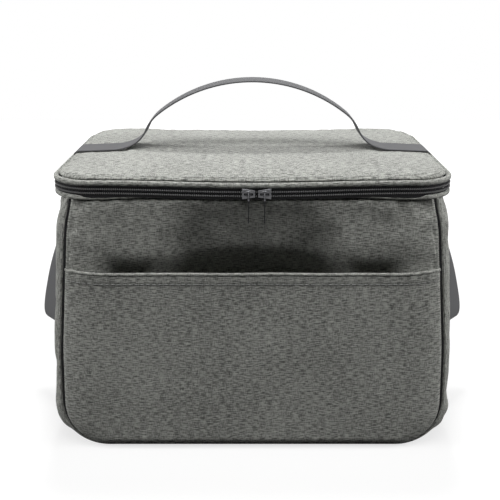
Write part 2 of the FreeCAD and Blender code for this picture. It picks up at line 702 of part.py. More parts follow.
def puller(label, side):
    """A flat tab that hangs edge-on from its slider's bridge."""
    body = new_body(label)
    middle = f"(slider_middle + {side} * slider_pitch / 2)"
    outline = body_sketch(body, "YZ_Plane", f"{middle} - puller / 2")
    tip_radius = f"({EYE_EDGE} - puller_taper)"
    pivot = (f"-1 * {BRIDGE_Y}", ZIP_LINE)
    tip = (f"-1 * {BRIDGE_Y}", f"{ZIP_LINE} - puller_length + {tip_radius}")
    tapered_slot(outline, pivot, EYE_EDGE, tip, tip_radius)
    for spot, radius in ((pivot, EYE_HOLE), (tip, "puller_hole")):
        circle = Part.Circle(Vector(number(spot[0]), number(spot[1]), 0), Vector(0, 0, 1),
                             number(radius))
        hole = outline.addGeometry(circle)
        constrain(outline, "Radius", hole, size=radius)
        place_point(outline, hole, 3, *spot)
    pad(body, outline, "puller")
    keep(label, body)


for place, side in (("left", -1), ("right", 1)):
    slider(f"slider_{place}", side)
    puller(f"puller_{place}", side)


# ---------------------------------------------------------------- check and write

doc.recompute()
failed = [obj.Label for obj in doc.Objects
          if {"Invalid", "Error"} & set(obj.State)]
if failed:
    raise RuntimeError(f"not rebuilt: {failed}")
os.makedirs("parts", exist_ok=True)
for label, obj in nodes.items():
    if obj.Shape.isNull() or not obj.Shape.isValid() or not obj.Shape.Solids:
        raise RuntimeError(f"{label} has no sound solid")
for label, obj in nodes.items():
    obj.Shape.exportStep(f"parts/{label}.step")
    print(label, len(obj.Shape.Solids), round(obj.Shape.Volume), obj.Shape.BoundBox)
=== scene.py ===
"""Insulated cooler bag: oxford cloth over foam, foil lining, zipped lid with one
webbing handle, two hanging side loops and an open front pocket.

Laid out as a Blender add-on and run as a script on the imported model's frame.
Lengths inside the making functions are millimetres; MM turns them into metres.
"""
import math

import bpy
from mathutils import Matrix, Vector, noise
from mathutils.geometry import interpolate_bezier


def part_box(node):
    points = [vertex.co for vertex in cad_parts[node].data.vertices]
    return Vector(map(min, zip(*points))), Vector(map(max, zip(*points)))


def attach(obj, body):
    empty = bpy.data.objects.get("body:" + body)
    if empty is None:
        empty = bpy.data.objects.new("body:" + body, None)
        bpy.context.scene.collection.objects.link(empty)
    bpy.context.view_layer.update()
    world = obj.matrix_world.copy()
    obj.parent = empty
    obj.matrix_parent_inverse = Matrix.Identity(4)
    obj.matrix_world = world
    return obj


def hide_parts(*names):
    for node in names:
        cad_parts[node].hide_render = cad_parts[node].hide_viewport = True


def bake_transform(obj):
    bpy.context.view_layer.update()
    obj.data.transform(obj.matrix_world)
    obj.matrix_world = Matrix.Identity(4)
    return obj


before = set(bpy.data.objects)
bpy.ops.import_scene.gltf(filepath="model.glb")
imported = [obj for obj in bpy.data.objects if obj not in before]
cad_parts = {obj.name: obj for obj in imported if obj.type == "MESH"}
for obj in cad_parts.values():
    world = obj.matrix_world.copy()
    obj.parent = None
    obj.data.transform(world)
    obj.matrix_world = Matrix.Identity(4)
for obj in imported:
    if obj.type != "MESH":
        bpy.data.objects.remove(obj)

bl_info = {
    "name": "Insulated Cooler Bag",
    "version": (1, 0, 0),
    "blender": (4, 5, 0),
    "location": "View3D > Sidebar > Cooler Bag",
    "description": "Makes the cloth, webbing, zip and metal finish of a soft cooler bag",
    "category": "Object",
}

MM = 0.001
QUARTER = math.pi / 2
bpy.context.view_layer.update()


def edges(node):
    """Lowest and highest corner of a CAD node, in millimetres."""
    low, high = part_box(node)
    return Vector(low) / MM, Vector(high) / MM


LID_HIGH = edges("lid_panel")[1]
TEETH_HIGH = edges("zip_coil_lower")[1]
UPPER_TEETH_LOW = edges("zip_coil_upper")[0]
LIP_LOW, LIP_HIGH = edges("zip_lip")
BAND_LOW = edges("lid_band")[0]
TAPE_LOW = edges("zip_tape_lower")[0]
UPPER_TAPE_HIGH = edges("zip_tape_upper")[1]
HINGE_LOW, HINGE_HIGH = edges("hinge_cloth_lower")
UPPER_HINGE_HIGH = edges("hinge_cloth_upper")[1]
STRAP_LOW, STRAP_HIGH = edges("handle_strap")
TAB_HIGH = edges("handle_tab_right")[1]
LOOP_LOW, LOOP_HIGH = edges("side_loop_right")
MOUTH_LOW, MOUTH_HIGH = edges("mouth_binding")
LINING_LOW, LINING_HIGH = edges("lid_liner")
LID_PIPING_LOW, LID_PIPING_HIGH = edges("lid_piping")

RIM_X, RIM_Y, RIM_RADIUS = TEETH_HIGH.x, TEETH_HIGH.y, 36.0
RIM_Z = LID_HIGH.z
MOUTH_Z = MOUTH_LOW.z - 0.1
ZIP_Z = (TEETH_HIGH.z + UPPER_TEETH_LOW.z) / 2
PANEL_Y = 111.0                               # the front and back panels' faces
SEAM_Y = 109.7                                # the sides' edges, sewn to the panels
SEAM = (142.5, 155.5, 4.0, MOUTH_Z, 36.0)     # see tub(): the panels' seam
SEAM_DROP = 1.4                               # from the seam down to the panels' edge
FACE_FLOOR = SEAM[2] - SEAM_DROP
MOUTH_HALF, LOW_HALF = 155.5, 167.3           # half the bag's width, at the mouth and low
CORNER = SEAM[4]
LID_INSET = 4.5                               # from the rim in to the lid's cloth
EDGE_ROLL = 2.6                               # radius of the padded edges
CREASE_Z = 167                                # where the empty panel starts to fall back
DEEPEST = 16.0                                # how far it falls back
CUSHION = 0.0062                              # cloth and foam together, in metres
FOIL, LID_FOIL = 0.0004, 0.0005               # thickness of the linings, in metres
CORE = Vector((0, 0, 0.11))                   # the middle of the inside, in metres
ENDS = (("front", -1), ("back", 1))           # a name and the way it lies from the middle
HANDS = (("left", -1), ("right", 1))


def ease(share):
    """0 to 1 with a soft start and a soft end."""
    share = min(max(share, 0.0), 1.0)
    return share * share * (3 - 2 * share)


def hill(offset, half):
    """1 at the middle, 0 from half on, rounded at both ends."""
    return (1 + math.cos(math.pi * min(abs(offset) / half, 1.0))) / 2


def ripple(x, y, z, size):
    """Even noise between about -1 and 1, with features of that size in millimetres."""
    return noise.noise(Vector((x, y, z)) / size)


# ---------------- lines that pieces follow


def part_way(x, y, heading, length, turn, along):
    """Where a run has got to after that much of its length: x, y, heading."""
    if not turn:
        return x + math.cos(heading) * along, y + math.sin(heading) * along, heading
    bend, now = length / turn, heading + turn * along / length
    return (x + (math.sin(now) - math.sin(heading)) * bend,
            y + (math.cos(heading) - math.cos(now)) * bend, now)


def walk(start, heading, runs):
    """A line in a plane made of (length, turn) runs. Gives place(share) -> point, heading."""
    marks = []
    here = (*start, heading)
    for length, turn in runs:
        marks.append((*here, length, turn))
        here = part_way(*here, length, turn, length)
    total = sum(run[3] for run in marks)

    def place(share):
        along = share * total
        for mark in marks:
            if along <= mark[3] or mark is marks[-1]:
                break
            along -= mark[3]
        x, y, now = part_way(*mark, along)
        return Vector((x, y)), now

    place.length = total
    return place


def tub_corner(half_top, half_low, floor, top, radius):
    """The outline's bottom corner: its centre, the side's lean and where the side begins."""
    centre = Vector((half_low - radius, floor + radius))
    reach = Vector((half_top, top)) - centre
    lean = math.atan2(reach.y, reach.x) - math.acos(radius / reach.length)
    return centre, lean, centre + Vector((math.cos(lean), math.sin(lean))) * radius


def tub(half_top, half_low, floor, top, radius):
    """The bag's outline from the front: down the left side, across the floor, up the right."""
    centre, lean, touch = tub_corner(half_top, half_low, floor, top, radius)
    side = (Vector((half_top, top)) - touch).length
    bend = (QUARTER + lean) * radius
    return walk((-half_top, top), -QUARTER - lean,
                [(side, 0), (bend, QUARTER + lean), (2 * centre.x, 0),
                 (bend, QUARTER + lean), (side, 0)])


def tub_half(z, half_top, half_low, floor, top, radius):
    """Half the width of that outline at a height."""
    centre, lean, touch = tub_corner(half_top, half_low, floor, top, radius)
    if z >= touch.y:
        return touch.x - math.tan(lean) * (z - touch.y)
    return centre.x + math.sqrt(max(radius ** 2 - (centre.y - z) ** 2, 0.0))


def rim(half_x, half_y, radius):
    """A rounded rectangle from above, from the back's middle round by the left and the front."""
    flat_x, flat_y, bend = half_x - radius, half_y - radius, QUARTER * radius
    return walk((0, half_y), math.pi,
                [(flat_x, 0), (bend, QUARTER), (2 * flat_y, 0), (bend, QUARTER), (2 * flat_x, 0),
                 (bend, QUARTER), (2 * flat_y, 0), (bend, QUARTER), (flat_x, 0)])


def rim_half(y, half_x, half_y, radius):
    """Half the width of that rectangle at a depth."""
    past = max(abs(y) - (half_y - radius), 0.0)
    return half_x - radius + math.sqrt(max(radius ** 2 - past ** 2, 0.0))


def pill(width, height, squareness=0.5):
    """A closed section with rounded corners. Gives place(share) -> across, up."""
    def place(share):
        turn = share * 4 * QUARTER
        across, up = math.cos(turn), math.sin(turn)
        return (math.copysign(abs(across) ** squareness, across) * width / 2,
                math.copysign(abs(up) ** squareness, up) * height / 2)
    return place


def sag(x, y, depth):
    """How far the rim hangs down at the middle of the front and the back."""
    return depth * hill(x, 125) * (abs(y) / RIM_Y) ** 2


def away(amount, place):
    """The amount, pointing away from the middle where the place lies."""
    return amount if place > 0 else -amount


def tuck(x, z):
    """How far the tops of the front and back seams are drawn in under the lip: (in, up)."""
    share = ease((z - 190) / (MOUTH_Z - 190)) * ease((abs(x) - 120) / 22)
    return share, 1.1 * share


def bulge(z):
    """How far the filled bag pushes its seams outwards at a height."""
    return 2.0 * ease((z - 44) / 50) * ease((216 - z) / 36) - 0.8 * hill(z - 36, 20)


def face_half(z):
    """Half the width of the front and back faces."""
    return tub_half(z + SEAM_DROP, *SEAM) + 0.2 + bulge(z)


def rolled(inside, radius):
    """How far a padded edge drops towards its seam, as a quarter round."""
    share = 1 - min(max(inside, 0.0) / radius, 1.0)
    return radius * (1 - math.sqrt(max(1 - share ** 2, 0.0)))


def spread(share):
    """-1 to 1 with the columns drawn together towards both edges."""
    across = 2 * share - 1
    return math.copysign(1 - (1 - abs(across)) ** 1.7, across)


def lid_top(x, y):
    """Height of the padded lid's upper face."""
    half_x, half_y = RIM_X - LID_INSET, RIM_Y - LID_INSET
    y_in = min(abs(y), half_y)
    inside = min(rim_half(y_in, half_x, half_y, RIM_RADIUS - LID_INSET) - abs(x),
                 half_y - y_in)
    pillow = 1 - (1 - min(max(inside, 0.0) / 45, 1.0)) ** 2
    swell = 1.6 * (1 - (x / RIM_X) ** 2) * (1 - (y / RIM_Y) ** 2)
    dents = 0.5 * ripple(x, y, 3, 58) + 0.25 * ripple(x, y, 9, 24)
    return RIM_Z + 0.1 + (0.5 + swell + dents) * pillow - rolled(inside, EDGE_ROLL) \
        - sag(x, y, 1.9)


def row_height(v, share, top, lift):
    """Height of a row on a face: that share of the rows goes round the bottom corners."""
    if v < share:
        return FACE_FLOOR + CORNER * (1 - math.cos(QUARTER * v / share)) + lift
    return FACE_FLOOR + CORNER + (top - FACE_FLOOR - CORNER) * (v - share) / (1 - share)


def beside(point, heading, across):
    """A place so far to the outside of a line."""
    return point.x + math.sin(heading) * across, point.y - math.cos(heading) * across


def front_face(x, z):
    """Depth of the front panel's outer face: empty, it hangs back above the pocket."""
    inside = max(min(face_half(z) - abs(x), z - FACE_FLOOR), 0.0)
    crown = 1 - (1 - min(inside / 20, 1.0)) ** 2
    lean = 0.25 * (MOUTH_Z - z) * (1 - ease((abs(x) - 30 - (MOUTH_Z - z) * 0.35) / 36))
    lean += (0.05 + 0.08 * (1 - ease((abs(x) - 108) / 30))) * (MOUTH_Z - z)
    fall = max(CREASE_Z + 7 * hill(x, 78) - z, 0.0)
    drop = fall ** 2 / 24 if fall < 12 else fall - 6
    drop = min(drop * 0.74, DEEPEST) * (1 - ease((abs(x) - 106) / 28))
    hollow = (lean + drop) * ease((z - 55) / 85)
    fold = 0.8 * ripple(x, 0, z * 1.6, 30) + 0.4 * ripple(x, 5, z, 13)
    puckers = ripple(x * 3.0, 2, z, 34) * ease((z - 190) / 14) * ease((abs(x) - 60) / 50)
    belly = 2.4 * crown * ease((205 - z) / 40)
    return -PANEL_Y - belly + (hollow + fold + puckers) * crown \
        + rolled(inside, EDGE_ROLL)


# ---------------- makers' helpers


def only(piece):
    """Selects that piece and nothing else."""
    bpy.ops.object.select_all(action="DESELECT")
    piece.select_set(True)
    bpy.context.view_layer.objects.active = piece


def fresh(add, **settings):
    """A new object, made by one of Blender's own operators."""
    bpy.ops.object.select_all(action="DESELECT")
    add(**settings)
    return bpy.context.object


def edit(piece, *steps):
    """Runs (operator, settings) steps on the whole piece in edit mode."""
    only(piece)
    bpy.ops.object.mode_set(mode="EDIT")
    for step, settings in steps:
        bpy.ops.mesh.select_all(action="SELECT")
        step(**settings)
    bpy.ops.object.mode_set(mode="OBJECT")


def finish_with(piece, kind, **settings):
    """Adds a modifier and applies it."""
    only(piece)
    modifier = piece.modifiers.new(kind.title(), kind)
    for name, value in settings.items():
        setattr(modifier, name, value)
    bpy.ops.object.modifier_apply(modifier=modifier.name)


def smooth(piece, angle=50):
    only(piece)
    bpy.ops.object.shade_smooth_by_angle(angle=math.radians(angle))


def sheet_of(name, columns, rows, place, threads, closed=False, capped=False):
    """A grid laid where place(u, v) says, in millimetres. threads(u, v) is its flat pattern."""
    piece = fresh(bpy.ops.mesh.primitive_grid_add, x_subdivisions=columns,
                  y_subdivisions=rows, size=2)
    piece.name = piece.data.name = name
    mesh = piece.data
    shares = [((v.co.x + 1) / 2, (v.co.y + 1) / 2) for v in mesh.vertices]
    pattern = mesh.uv_layers.active.data
    for loop in mesh.loops:
        pattern[loop.index].uv = Vector(threads(*shares[loop.vertex_index])) * MM
    for vertex, share in zip(mesh.vertices, shares):
        vertex.co = Vector(place(*share)) * MM
    steps = []
    if closed:
        steps.append((bpy.ops.mesh.remove_doubles, {"threshold": 0.00002}))
    if capped:
        steps.append((bpy.ops.mesh.fill_holes, {"sides": 0}))
    if closed or capped:
        steps.append((bpy.ops.mesh.normals_make_consistent, {"inside": False}))
    if steps:
        edit(piece, *steps)
    return piece


def face(piece, outward):
    """Turns an open sheet so that most of it looks where outward(middle of a face) says."""
    lean = sum(outward(part.center).dot(part.normal) * part.area
               for part in piece.data.polygons)
    if lean < 0:
        edit(piece, (bpy.ops.mesh.flip_normals, {}))


def face_towards(piece, direction):
    """Turns an open sheet to look one way."""
    face(piece, lambda _: Vector(direction))


def from_core(spot):
    """The way out of the bag from a place in metres."""
    return spot - CORE


def where(piece, test):
    """Indices of the vertices whose place in millimetres passes the test."""
    return [v.index for v in piece.data.vertices if test(v.co / MM)]


def thicken(piece, thickness, **settings):
    """Makes a sheet solid, growing inwards from its face."""
    finish_with(piece, "SOLIDIFY", thickness=thickness, offset=-1, **settings)


def soften(piece):
    """Rounds a sheet's folds."""
    finish_with(piece, "SUBSURF", levels=1, render_levels=1)
    smooth(piece)


def pad(piece, held, full=None, edge=1.0):
    """Adds the foam, at its full depth where full says, and settles the cloth that isn't held."""
    settings = {}
    if full:
        piece.vertex_groups.new(name="full").add(where(piece, full), 1.0, "REPLACE")
        settings = {"vertex_group": "full", "thickness_vertex_group": edge}
    thicken(piece, CUSHION, **settings)
    settle(piece, where(piece, held), bpy.context.scene.bag_sizes.wrinkle / MM)
    soften(piece)


def squeeze(piece, axis, middle, share):
    """Draws a piece in along one axis, by a share that depends on the place."""
    for vertex in piece.data.vertices:
        vertex.co[axis] = (middle + (vertex.co[axis] / MM - middle)
                           * (1 - share(vertex.co / MM))) * MM


def trim_of(name, line, section, columns, lay, angle, rows=12, closed=False,
            shares=(0.0, 1.0)):
    """A section carried along a line: lay(point, heading, across, up) places it."""
    first, last = shares
    def share_of(u):
        return first + (last - first) * u
    def place(u, v):
        point, heading = line(share_of(u))
        return lay(point, heading, *section(v))
    girth = sum((Vector(section((i + 1) / rows)) - Vector(section(i / rows))).length
                for i in range(rows))
    def threads(u, v):
        return share_of(u) * line.length, v * girth
    piece = sheet_of(name, columns, rows, place, threads, closed=True, capped=not closed)
    smooth(piece, angle)
    return piece


SETTLING = {"quality": 6, "mass": 0.25, "tension_stiffness": 12, "compression_stiffness": 12,
            "shear_stiffness": 4, "bending_stiffness": 0.25, "shrink_min": -0.035,
            "use_pressure": True, "uniform_pressure_force": 4.0, "vertex_group_mass": "held"}
SETTLING_FRAMES = 20


def settle(piece, pinned, reach):
    """Lets padded cloth find its own wrinkles: pinned vertices stay, none moves past reach."""
    before = [vertex.co.copy() for vertex in piece.data.vertices]
    held = piece.vertex_groups.new(name="held")
    held.add(pinned, 1.0, "REPLACE")
    cloth = piece.modifiers.new("Cloth", "CLOTH")
    for name, value in SETTLING.items():
        setattr(cloth.settings, name, value)
    cloth.settings.effector_weights.gravity = 0
    cloth.collision_settings.use_collision = False
    cloth.point_cache.frame_start, cloth.point_cache.frame_end = 1, SETTLING_FRAMES
    for number in range(1, SETTLING_FRAMES + 1):
        bpy.context.scene.frame_set(number)
    moved = piece.evaluated_get(bpy.context.evaluated_depsgraph_get()).data
    after = [vertex.co.copy() for vertex in moved.vertices]
    piece.modifiers.remove(cloth)
    piece.vertex_groups.remove(held)
    for vertex, start, end in zip(piece.data.vertices, before, after):
        shift = end - start
        if shift.length > reach * MM:
            shift *= reach * MM / shift.length
        vertex.co = start + shift
    bpy.context.scene.frame_set(1)


def row_of(name, tooth, line, pitch):
    """Carries one small piece along a line by Array and Curve, then applies both."""
    path = bpy.data.curves.new(name + "_path", "CURVE")
    path.dimensions = "3D"
    path.twist_mode = "Z_UP"
    spline = path.splines.new("POLY")
    spline.points.add(len(line) - 1)
    for point, place in zip(spline.points, line):
        point.co = (*(Vector(place) * MM), 1.0)
    guide = bpy.data.objects.new(name + "_path", path)
    bpy.context.collection.objects.link(guide)
    length = sum((Vector(b) - Vector(a)).length for a, b in zip(line, line[1:]))
    tooth.name = tooth.data.name = name
    finish_with(tooth, "ARRAY", count=int(length / pitch), use_relative_offset=False,
                use_constant_offset=True, constant_offset_displace=(pitch * MM, 0, 0))
    finish_with(tooth, "CURVE", object=guide, deform_axis="POS_X")
    bpy.data.objects.remove(guide)
    return tooth


def put(piece, body, material, *nodes, slot="oxford"):
    """Gives a piece its finish and its body, and hides the CAD nodes it stands for."""
    piece.data.materials.clear()
    piece.data.materials.append(finish(material))
    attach(piece, body)
    if nodes:
        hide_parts(*nodes)
    return piece


# ---------------- finishes


class Wire:
    """One socket of a shader, with the arithmetic of a plain number."""

    def __init__(self, paint, socket):
        self.paint, self.socket = paint, socket

    def sum(self, operation, *values):
        return self.paint.node("ShaderNodeMath", {"operation": operation}, *values)

    def __add__(self, other):
        return self.sum("ADD", self, other)

    def __sub__(self, other):
        return self.sum("SUBTRACT", self, other)

    def __mul__(self, other):
        return self.sum("MULTIPLY", self, other)

    def __rsub__(self, other):
        return self.sum("SUBTRACT", other, self)

    __radd__, __rmul__ = __add__, __mul__

    def __abs__(self):
        return self.sum("ABSOLUTE", self)

    def larger(self, other):
        return self.sum("MAXIMUM", self, other)

    def wave(self, pitch):
        """-1 to 1 and back once each pitch, in metres."""
        return self.sum("SINE", self * (2 * math.pi / pitch))

    def between(self, low, high):
        """0 below low, 1 above high, eased in between."""
        return self.paint.node("ShaderNodeMapRange",
                               {"interpolation_type": "SMOOTHSTEP", "clamp": True},
                               self, low, high, 0.0, 1.0)


class Graph:
    """A tree of nodes under construction."""

    def __init__(self, owner):
        owner.use_nodes = True
        self.tree = owner.node_tree

    def node(self, kind, settings=None, *inputs, out=0, **named):
        made = self.tree.nodes.new(kind)
        for name, value in (settings or {}).items():
            setattr(made, name, value)
        for place, value in [*enumerate(inputs), *named.items()]:
            self.join(made.inputs[place], value)
        return Wire(self, made.outputs[out])

    def join(self, socket, value):
        if isinstance(value, Wire):
            self.tree.links.new(value.socket, socket)
        else:
            socket.default_value = value

    def end(self, output, first, second):
        """Shows the second shader where the camera sees this tree, and else the first."""
        camera, glossy, through = (self.node("ShaderNodeLightPath", out=f"Is {ray} Ray")
                                   for ray in ("Camera", "Glossy", "Transmission"))
        seen = camera.larger(glossy).larger(through)
        self.join(self.tree.nodes[output].inputs["Surface"],
                  self.node("ShaderNodeMixShader", None, seen, first, second))


class Paint(Graph):
    """A material under construction: node() adds any node, the rest are short cuts."""

    def __init__(self, name, **constants):
        self.material = bpy.data.materials.new(name)
        super().__init__(self.material)
        self.shader = self.tree.nodes["Principled BSDF"]
        for socket, value in constants.items():
            self.shader.inputs[socket.replace("_", " ")].default_value = value

    def set(self, socket, value):
        self.join(self.shader.inputs[socket], value)

    def pattern(self):
        """Length and width along the piece's own cloth, in metres."""
        uv = self.node("ShaderNodeUVMap", {"uv_map": "UVMap"})
        return [self.node("ShaderNodeSeparateXYZ", None, uv, out=axis) for axis in (0, 1)]

    def here(self):
        return self.node("ShaderNodeTexCoord", out="Object")

    def vector(self, x, y, z=0.0):
        return self.node("ShaderNodeCombineXYZ", None, x, y, z)

    def grain(self, where, size, detail=2.0):
        """Noise from 0 to 1 with features of that size in metres."""
        return self.node("ShaderNodeTexNoise", None, Vector=where, Scale=1.0 / size,
                         Detail=detail, out="Fac")

    def mix(self, share, first, second):
        """Two colours by a share."""
        made = self.tree.nodes.new("ShaderNodeMix")
        made.data_type = "RGBA"
        for place, value in (("Factor_Float", share), ("A_Color", first), ("B_Color", second)):
            socket = next(s for s in made.inputs if s.identifier == place)
            self.join(socket, value)
        return Wire(self, next(s for s in made.outputs if s.identifier == "Result_Color"))

    def tint(self, share, colour, dark, light):
        """Sets the base colour between two shades of one colour."""
        self.set("Base Color", self.mix(share, shade(colour, dark), shade(colour, light)))

    def bump(self, height, depth, strength):
        """Turns a height of 0 to 1 into a normal, depth in metres."""
        normal = self.node("ShaderNodeBump", None, Strength=strength, Distance=depth,
                           Height=height)
        self.set("Normal", normal)


def shade(colour, factor):
    """A colour made lighter or darker, ready for a socket."""
    return (*(channel * factor for channel in colour[:3]), 1.0)


def oxford_finish(colour):
    """Heathered oxford: thick and thin yarns both ways, with light slubs mostly crosswise."""
    paint = Paint("oxford_cloth", Sheen_Weight=0.12, Sheen_Roughness=0.5,
                  Specular_IOR_Level=0.22)
    along, across = paint.pattern()
    rows = paint.grain(paint.vector(along * 0.12, across), 0.00065)
    files = paint.grain(paint.vector(along, across * 0.2, 5.0), 0.0007)
    slub = paint.grain(paint.vector(along * 0.09, across, 9.0), 0.00075).between(0.60, 0.76)
    stand = paint.grain(paint.vector(along, across * 0.12, 14.0), 0.0010).between(0.63, 0.8)
    broad = paint.grain(paint.here(), 0.06)
    tone = rows * 0.70 + files * 0.30 + (broad - 0.5) * 0.08
    body = paint.mix(tone.between(0.39, 0.61), shade(colour, 0.36), shade(colour, 1.42))
    body = paint.mix(slub * 0.78, body, shade(colour, 2.3))
    body = paint.mix(stand * 0.40, body, shade(colour, 1.85))
    paint.set("Base Color", body)
    weave = along.wave(0.0011) * across.wave(0.0011) * 0.25 + 0.5
    paint.set("Roughness", 0.92 - tone * 0.12)
    paint.bump(weave + rows * 0.5 + slub * 0.5 + stand * 0.3, 0.00022, 0.75)
    return paint.material


def webbing_finish(colour):
    """Woven webbing: lengthwise ribs crossed by a herringbone."""
    paint = Paint("webbing", Roughness=0.8, Sheen_Weight=0.1, Sheen_Roughness=0.5,
                  Specular_IOR_Level=0.25)
    along, across = paint.pattern()
    rib = across.wave(0.0032)
    twill = (along + abs(rib) * 0.0009).wave(0.0019)
    speckle = paint.grain(paint.vector(along * 0.7, across * 1.1), 0.0009)
    long_yarn = paint.grain(paint.vector(along * 0.08, across, 3.0), 0.0012)
    tone = rib * 0.16 + twill * 0.12 + speckle * 0.55 + long_yarn * 0.35
    paint.tint(tone.between(0.22, 0.72), colour, 0.55, 1.35)
    paint.bump(rib * 0.5 + twill * 0.35 + speckle * 0.4 + 0.5, 0.00035, 0.8)
    return paint.material


def tape_finish(colour):
    """Close-woven black tape or binding."""
    paint = Paint("black_tape", Roughness=0.82, Specular_IOR_Level=0.25)
    along, across = paint.pattern()
    pitch = 0.0009
    speckle = paint.grain(paint.vector(along, across), 0.0007)
    paint.tint(speckle, colour, 0.7, 1.35)
    paint.bump(along.wave(pitch) * across.wave(pitch) * 0.5 + 0.5, 0.0002, 0.6)
    return paint.material


def teeth_finish(colour):
    """Moulded nylon teeth with a soft shine, duller in places."""
    paint = Paint("zip_nylon")
    cloudy = paint.grain(paint.here(), 0.004)
    paint.tint(cloudy, colour, 0.85, 1.15)
    paint.set("Roughness", 0.32 + cloudy * 0.2)
    return paint.material


def foil_finish(colour):
    """Aluminised lining: crinkled, half mirror."""
    paint = Paint("foil_lining", Metallic=0.85)
    where = paint.here()
    crinkle = paint.node("ShaderNodeTexVoronoi", {"feature": "DISTANCE_TO_EDGE"},
                         Vector=where, Scale=95.0, out="Distance")
    fine = paint.grain(where, 0.006, 4.0)
    paint.tint(fine, colour, 0.82, 1.08)
    paint.set("Roughness", 0.24 + fine * 0.25)
    paint.bump(crinkle.between(0.0, 0.35) * 0.7 + fine * 0.6, 0.0007, 0.7)
    return paint.material


def metal_finish(colour):
    """Dark nickel plate over cast metal, brushed by use."""
    paint = Paint("dark_nickel", Metallic=1.0)
    where = paint.here()
    cloudy = paint.grain(where, 0.003, 3.0)
    streaks = paint.grain(paint.node("ShaderNodeVectorMath", {"operation": "MULTIPLY"},
                                     where, (1.0, 1.0, 0.12)), 0.0006)
    paint.tint(cloudy, colour, 0.8, 1.15)
    paint.set("Roughness", 0.2 + cloudy * 0.16 + streaks * 0.12)
    paint.bump(streaks, 0.00006, 0.5)
    return paint.material


def enamel_finish(colour):
    """Black enamel, glossy with faint wear."""
    paint = Paint("black_enamel", Specular_IOR_Level=0.12)
    cloudy = paint.grain(paint.here(), 0.002, 3.0)
    paint.tint(cloudy, colour, 0.8, 1.4)
    paint.set("Roughness", 0.28 + cloudy * 0.25)
    return paint.material


def thread_finish(colour):
    """Two-ply sewing thread."""
    paint = Paint("sewing_thread", Roughness=0.6)
    twist = paint.grain(paint.here(), 0.0007)
    paint.tint(twist, colour, 0.8, 1.2)
    return paint.material


# ---------------- sizes and colours


def length_of(name, description, default):
    return bpy.props.FloatProperty(name=name, description=description, default=default,
                                   subtype="DISTANCE", unit="LENGTH")


class BagSizes(bpy.types.PropertyGroup):
    """Lengths of the sewn pieces that a maker would change."""

    cloth: length_of("Cloth", "Thickness of the oxford cloth", 0.0012)
    webbing: length_of("Webbing", "Thickness of handle and loop webbing", 0.0016)
    webbing_width: length_of("Webbing width", "Width of the handle webbing",
                             (STRAP_HIGH.y - STRAP_LOW.y) * MM)
    hem: length_of("Hem", "Depth of the pocket's hem above its stitches", 0.0075)
    stitch: length_of("Stitch", "Length of one stitch", 0.0032)
    tooth_pitch: length_of("Tooth pitch", "Distance from one zip tooth to the next", 0.00145)
    wrinkle: length_of("Wrinkle", "Furthest that padded cloth may move when it settles", 0.0016)


def colour_of(name, description, default):
    return bpy.props.FloatVectorProperty(name=name, description=description, default=default,
                                         subtype="COLOR", size=3, min=0.0, max=1.0)


class BagColours(bpy.types.PropertyGroup):
    """Colours of the cloth, trims, lining and metal."""

    oxford: colour_of("Oxford", "Heathered outer cloth", (0.335, 0.340, 0.315))
    webbing: colour_of("Webbing", "Handle and loops", (0.275, 0.285, 0.297))
    tape: colour_of("Tape", "Zip tape and bindings", (0.012, 0.012, 0.013))
    teeth: colour_of("Teeth", "Zip teeth", (0.13, 0.13, 0.13))
    foil: colour_of("Foil", "Lining", (0.80, 0.81, 0.83))
    metal: colour_of("Metal", "Sliders and puller rings", (0.10, 0.10, 0.105))
    enamel: colour_of("Enamel", "Pullers and the sliders' wells", (0.012, 0.012, 0.013))
    thread: colour_of("Thread", "Stitches", (0.24, 0.245, 0.235))


# material: its maker and its colour in BagColours
FINISHES = {"oxford_cloth": (oxford_finish, "oxford"), "webbing": (webbing_finish, "webbing"),
            "black_tape": (tape_finish, "tape"), "zip_nylon": (teeth_finish, "teeth"),
            "foil_lining": (foil_finish, "foil"), "dark_nickel": (metal_finish, "metal"),
            "black_enamel": (enamel_finish, "enamel"),
            "sewing_thread": (thread_finish, "thread")}


def finish(name):
    """One material, made the first time it is asked for."""
    maker, colour = FINISHES[name]
    return bpy.data.materials.get(name) or maker(getattr(bpy.context.scene.bag_colours, colour))


# ---------------- operators


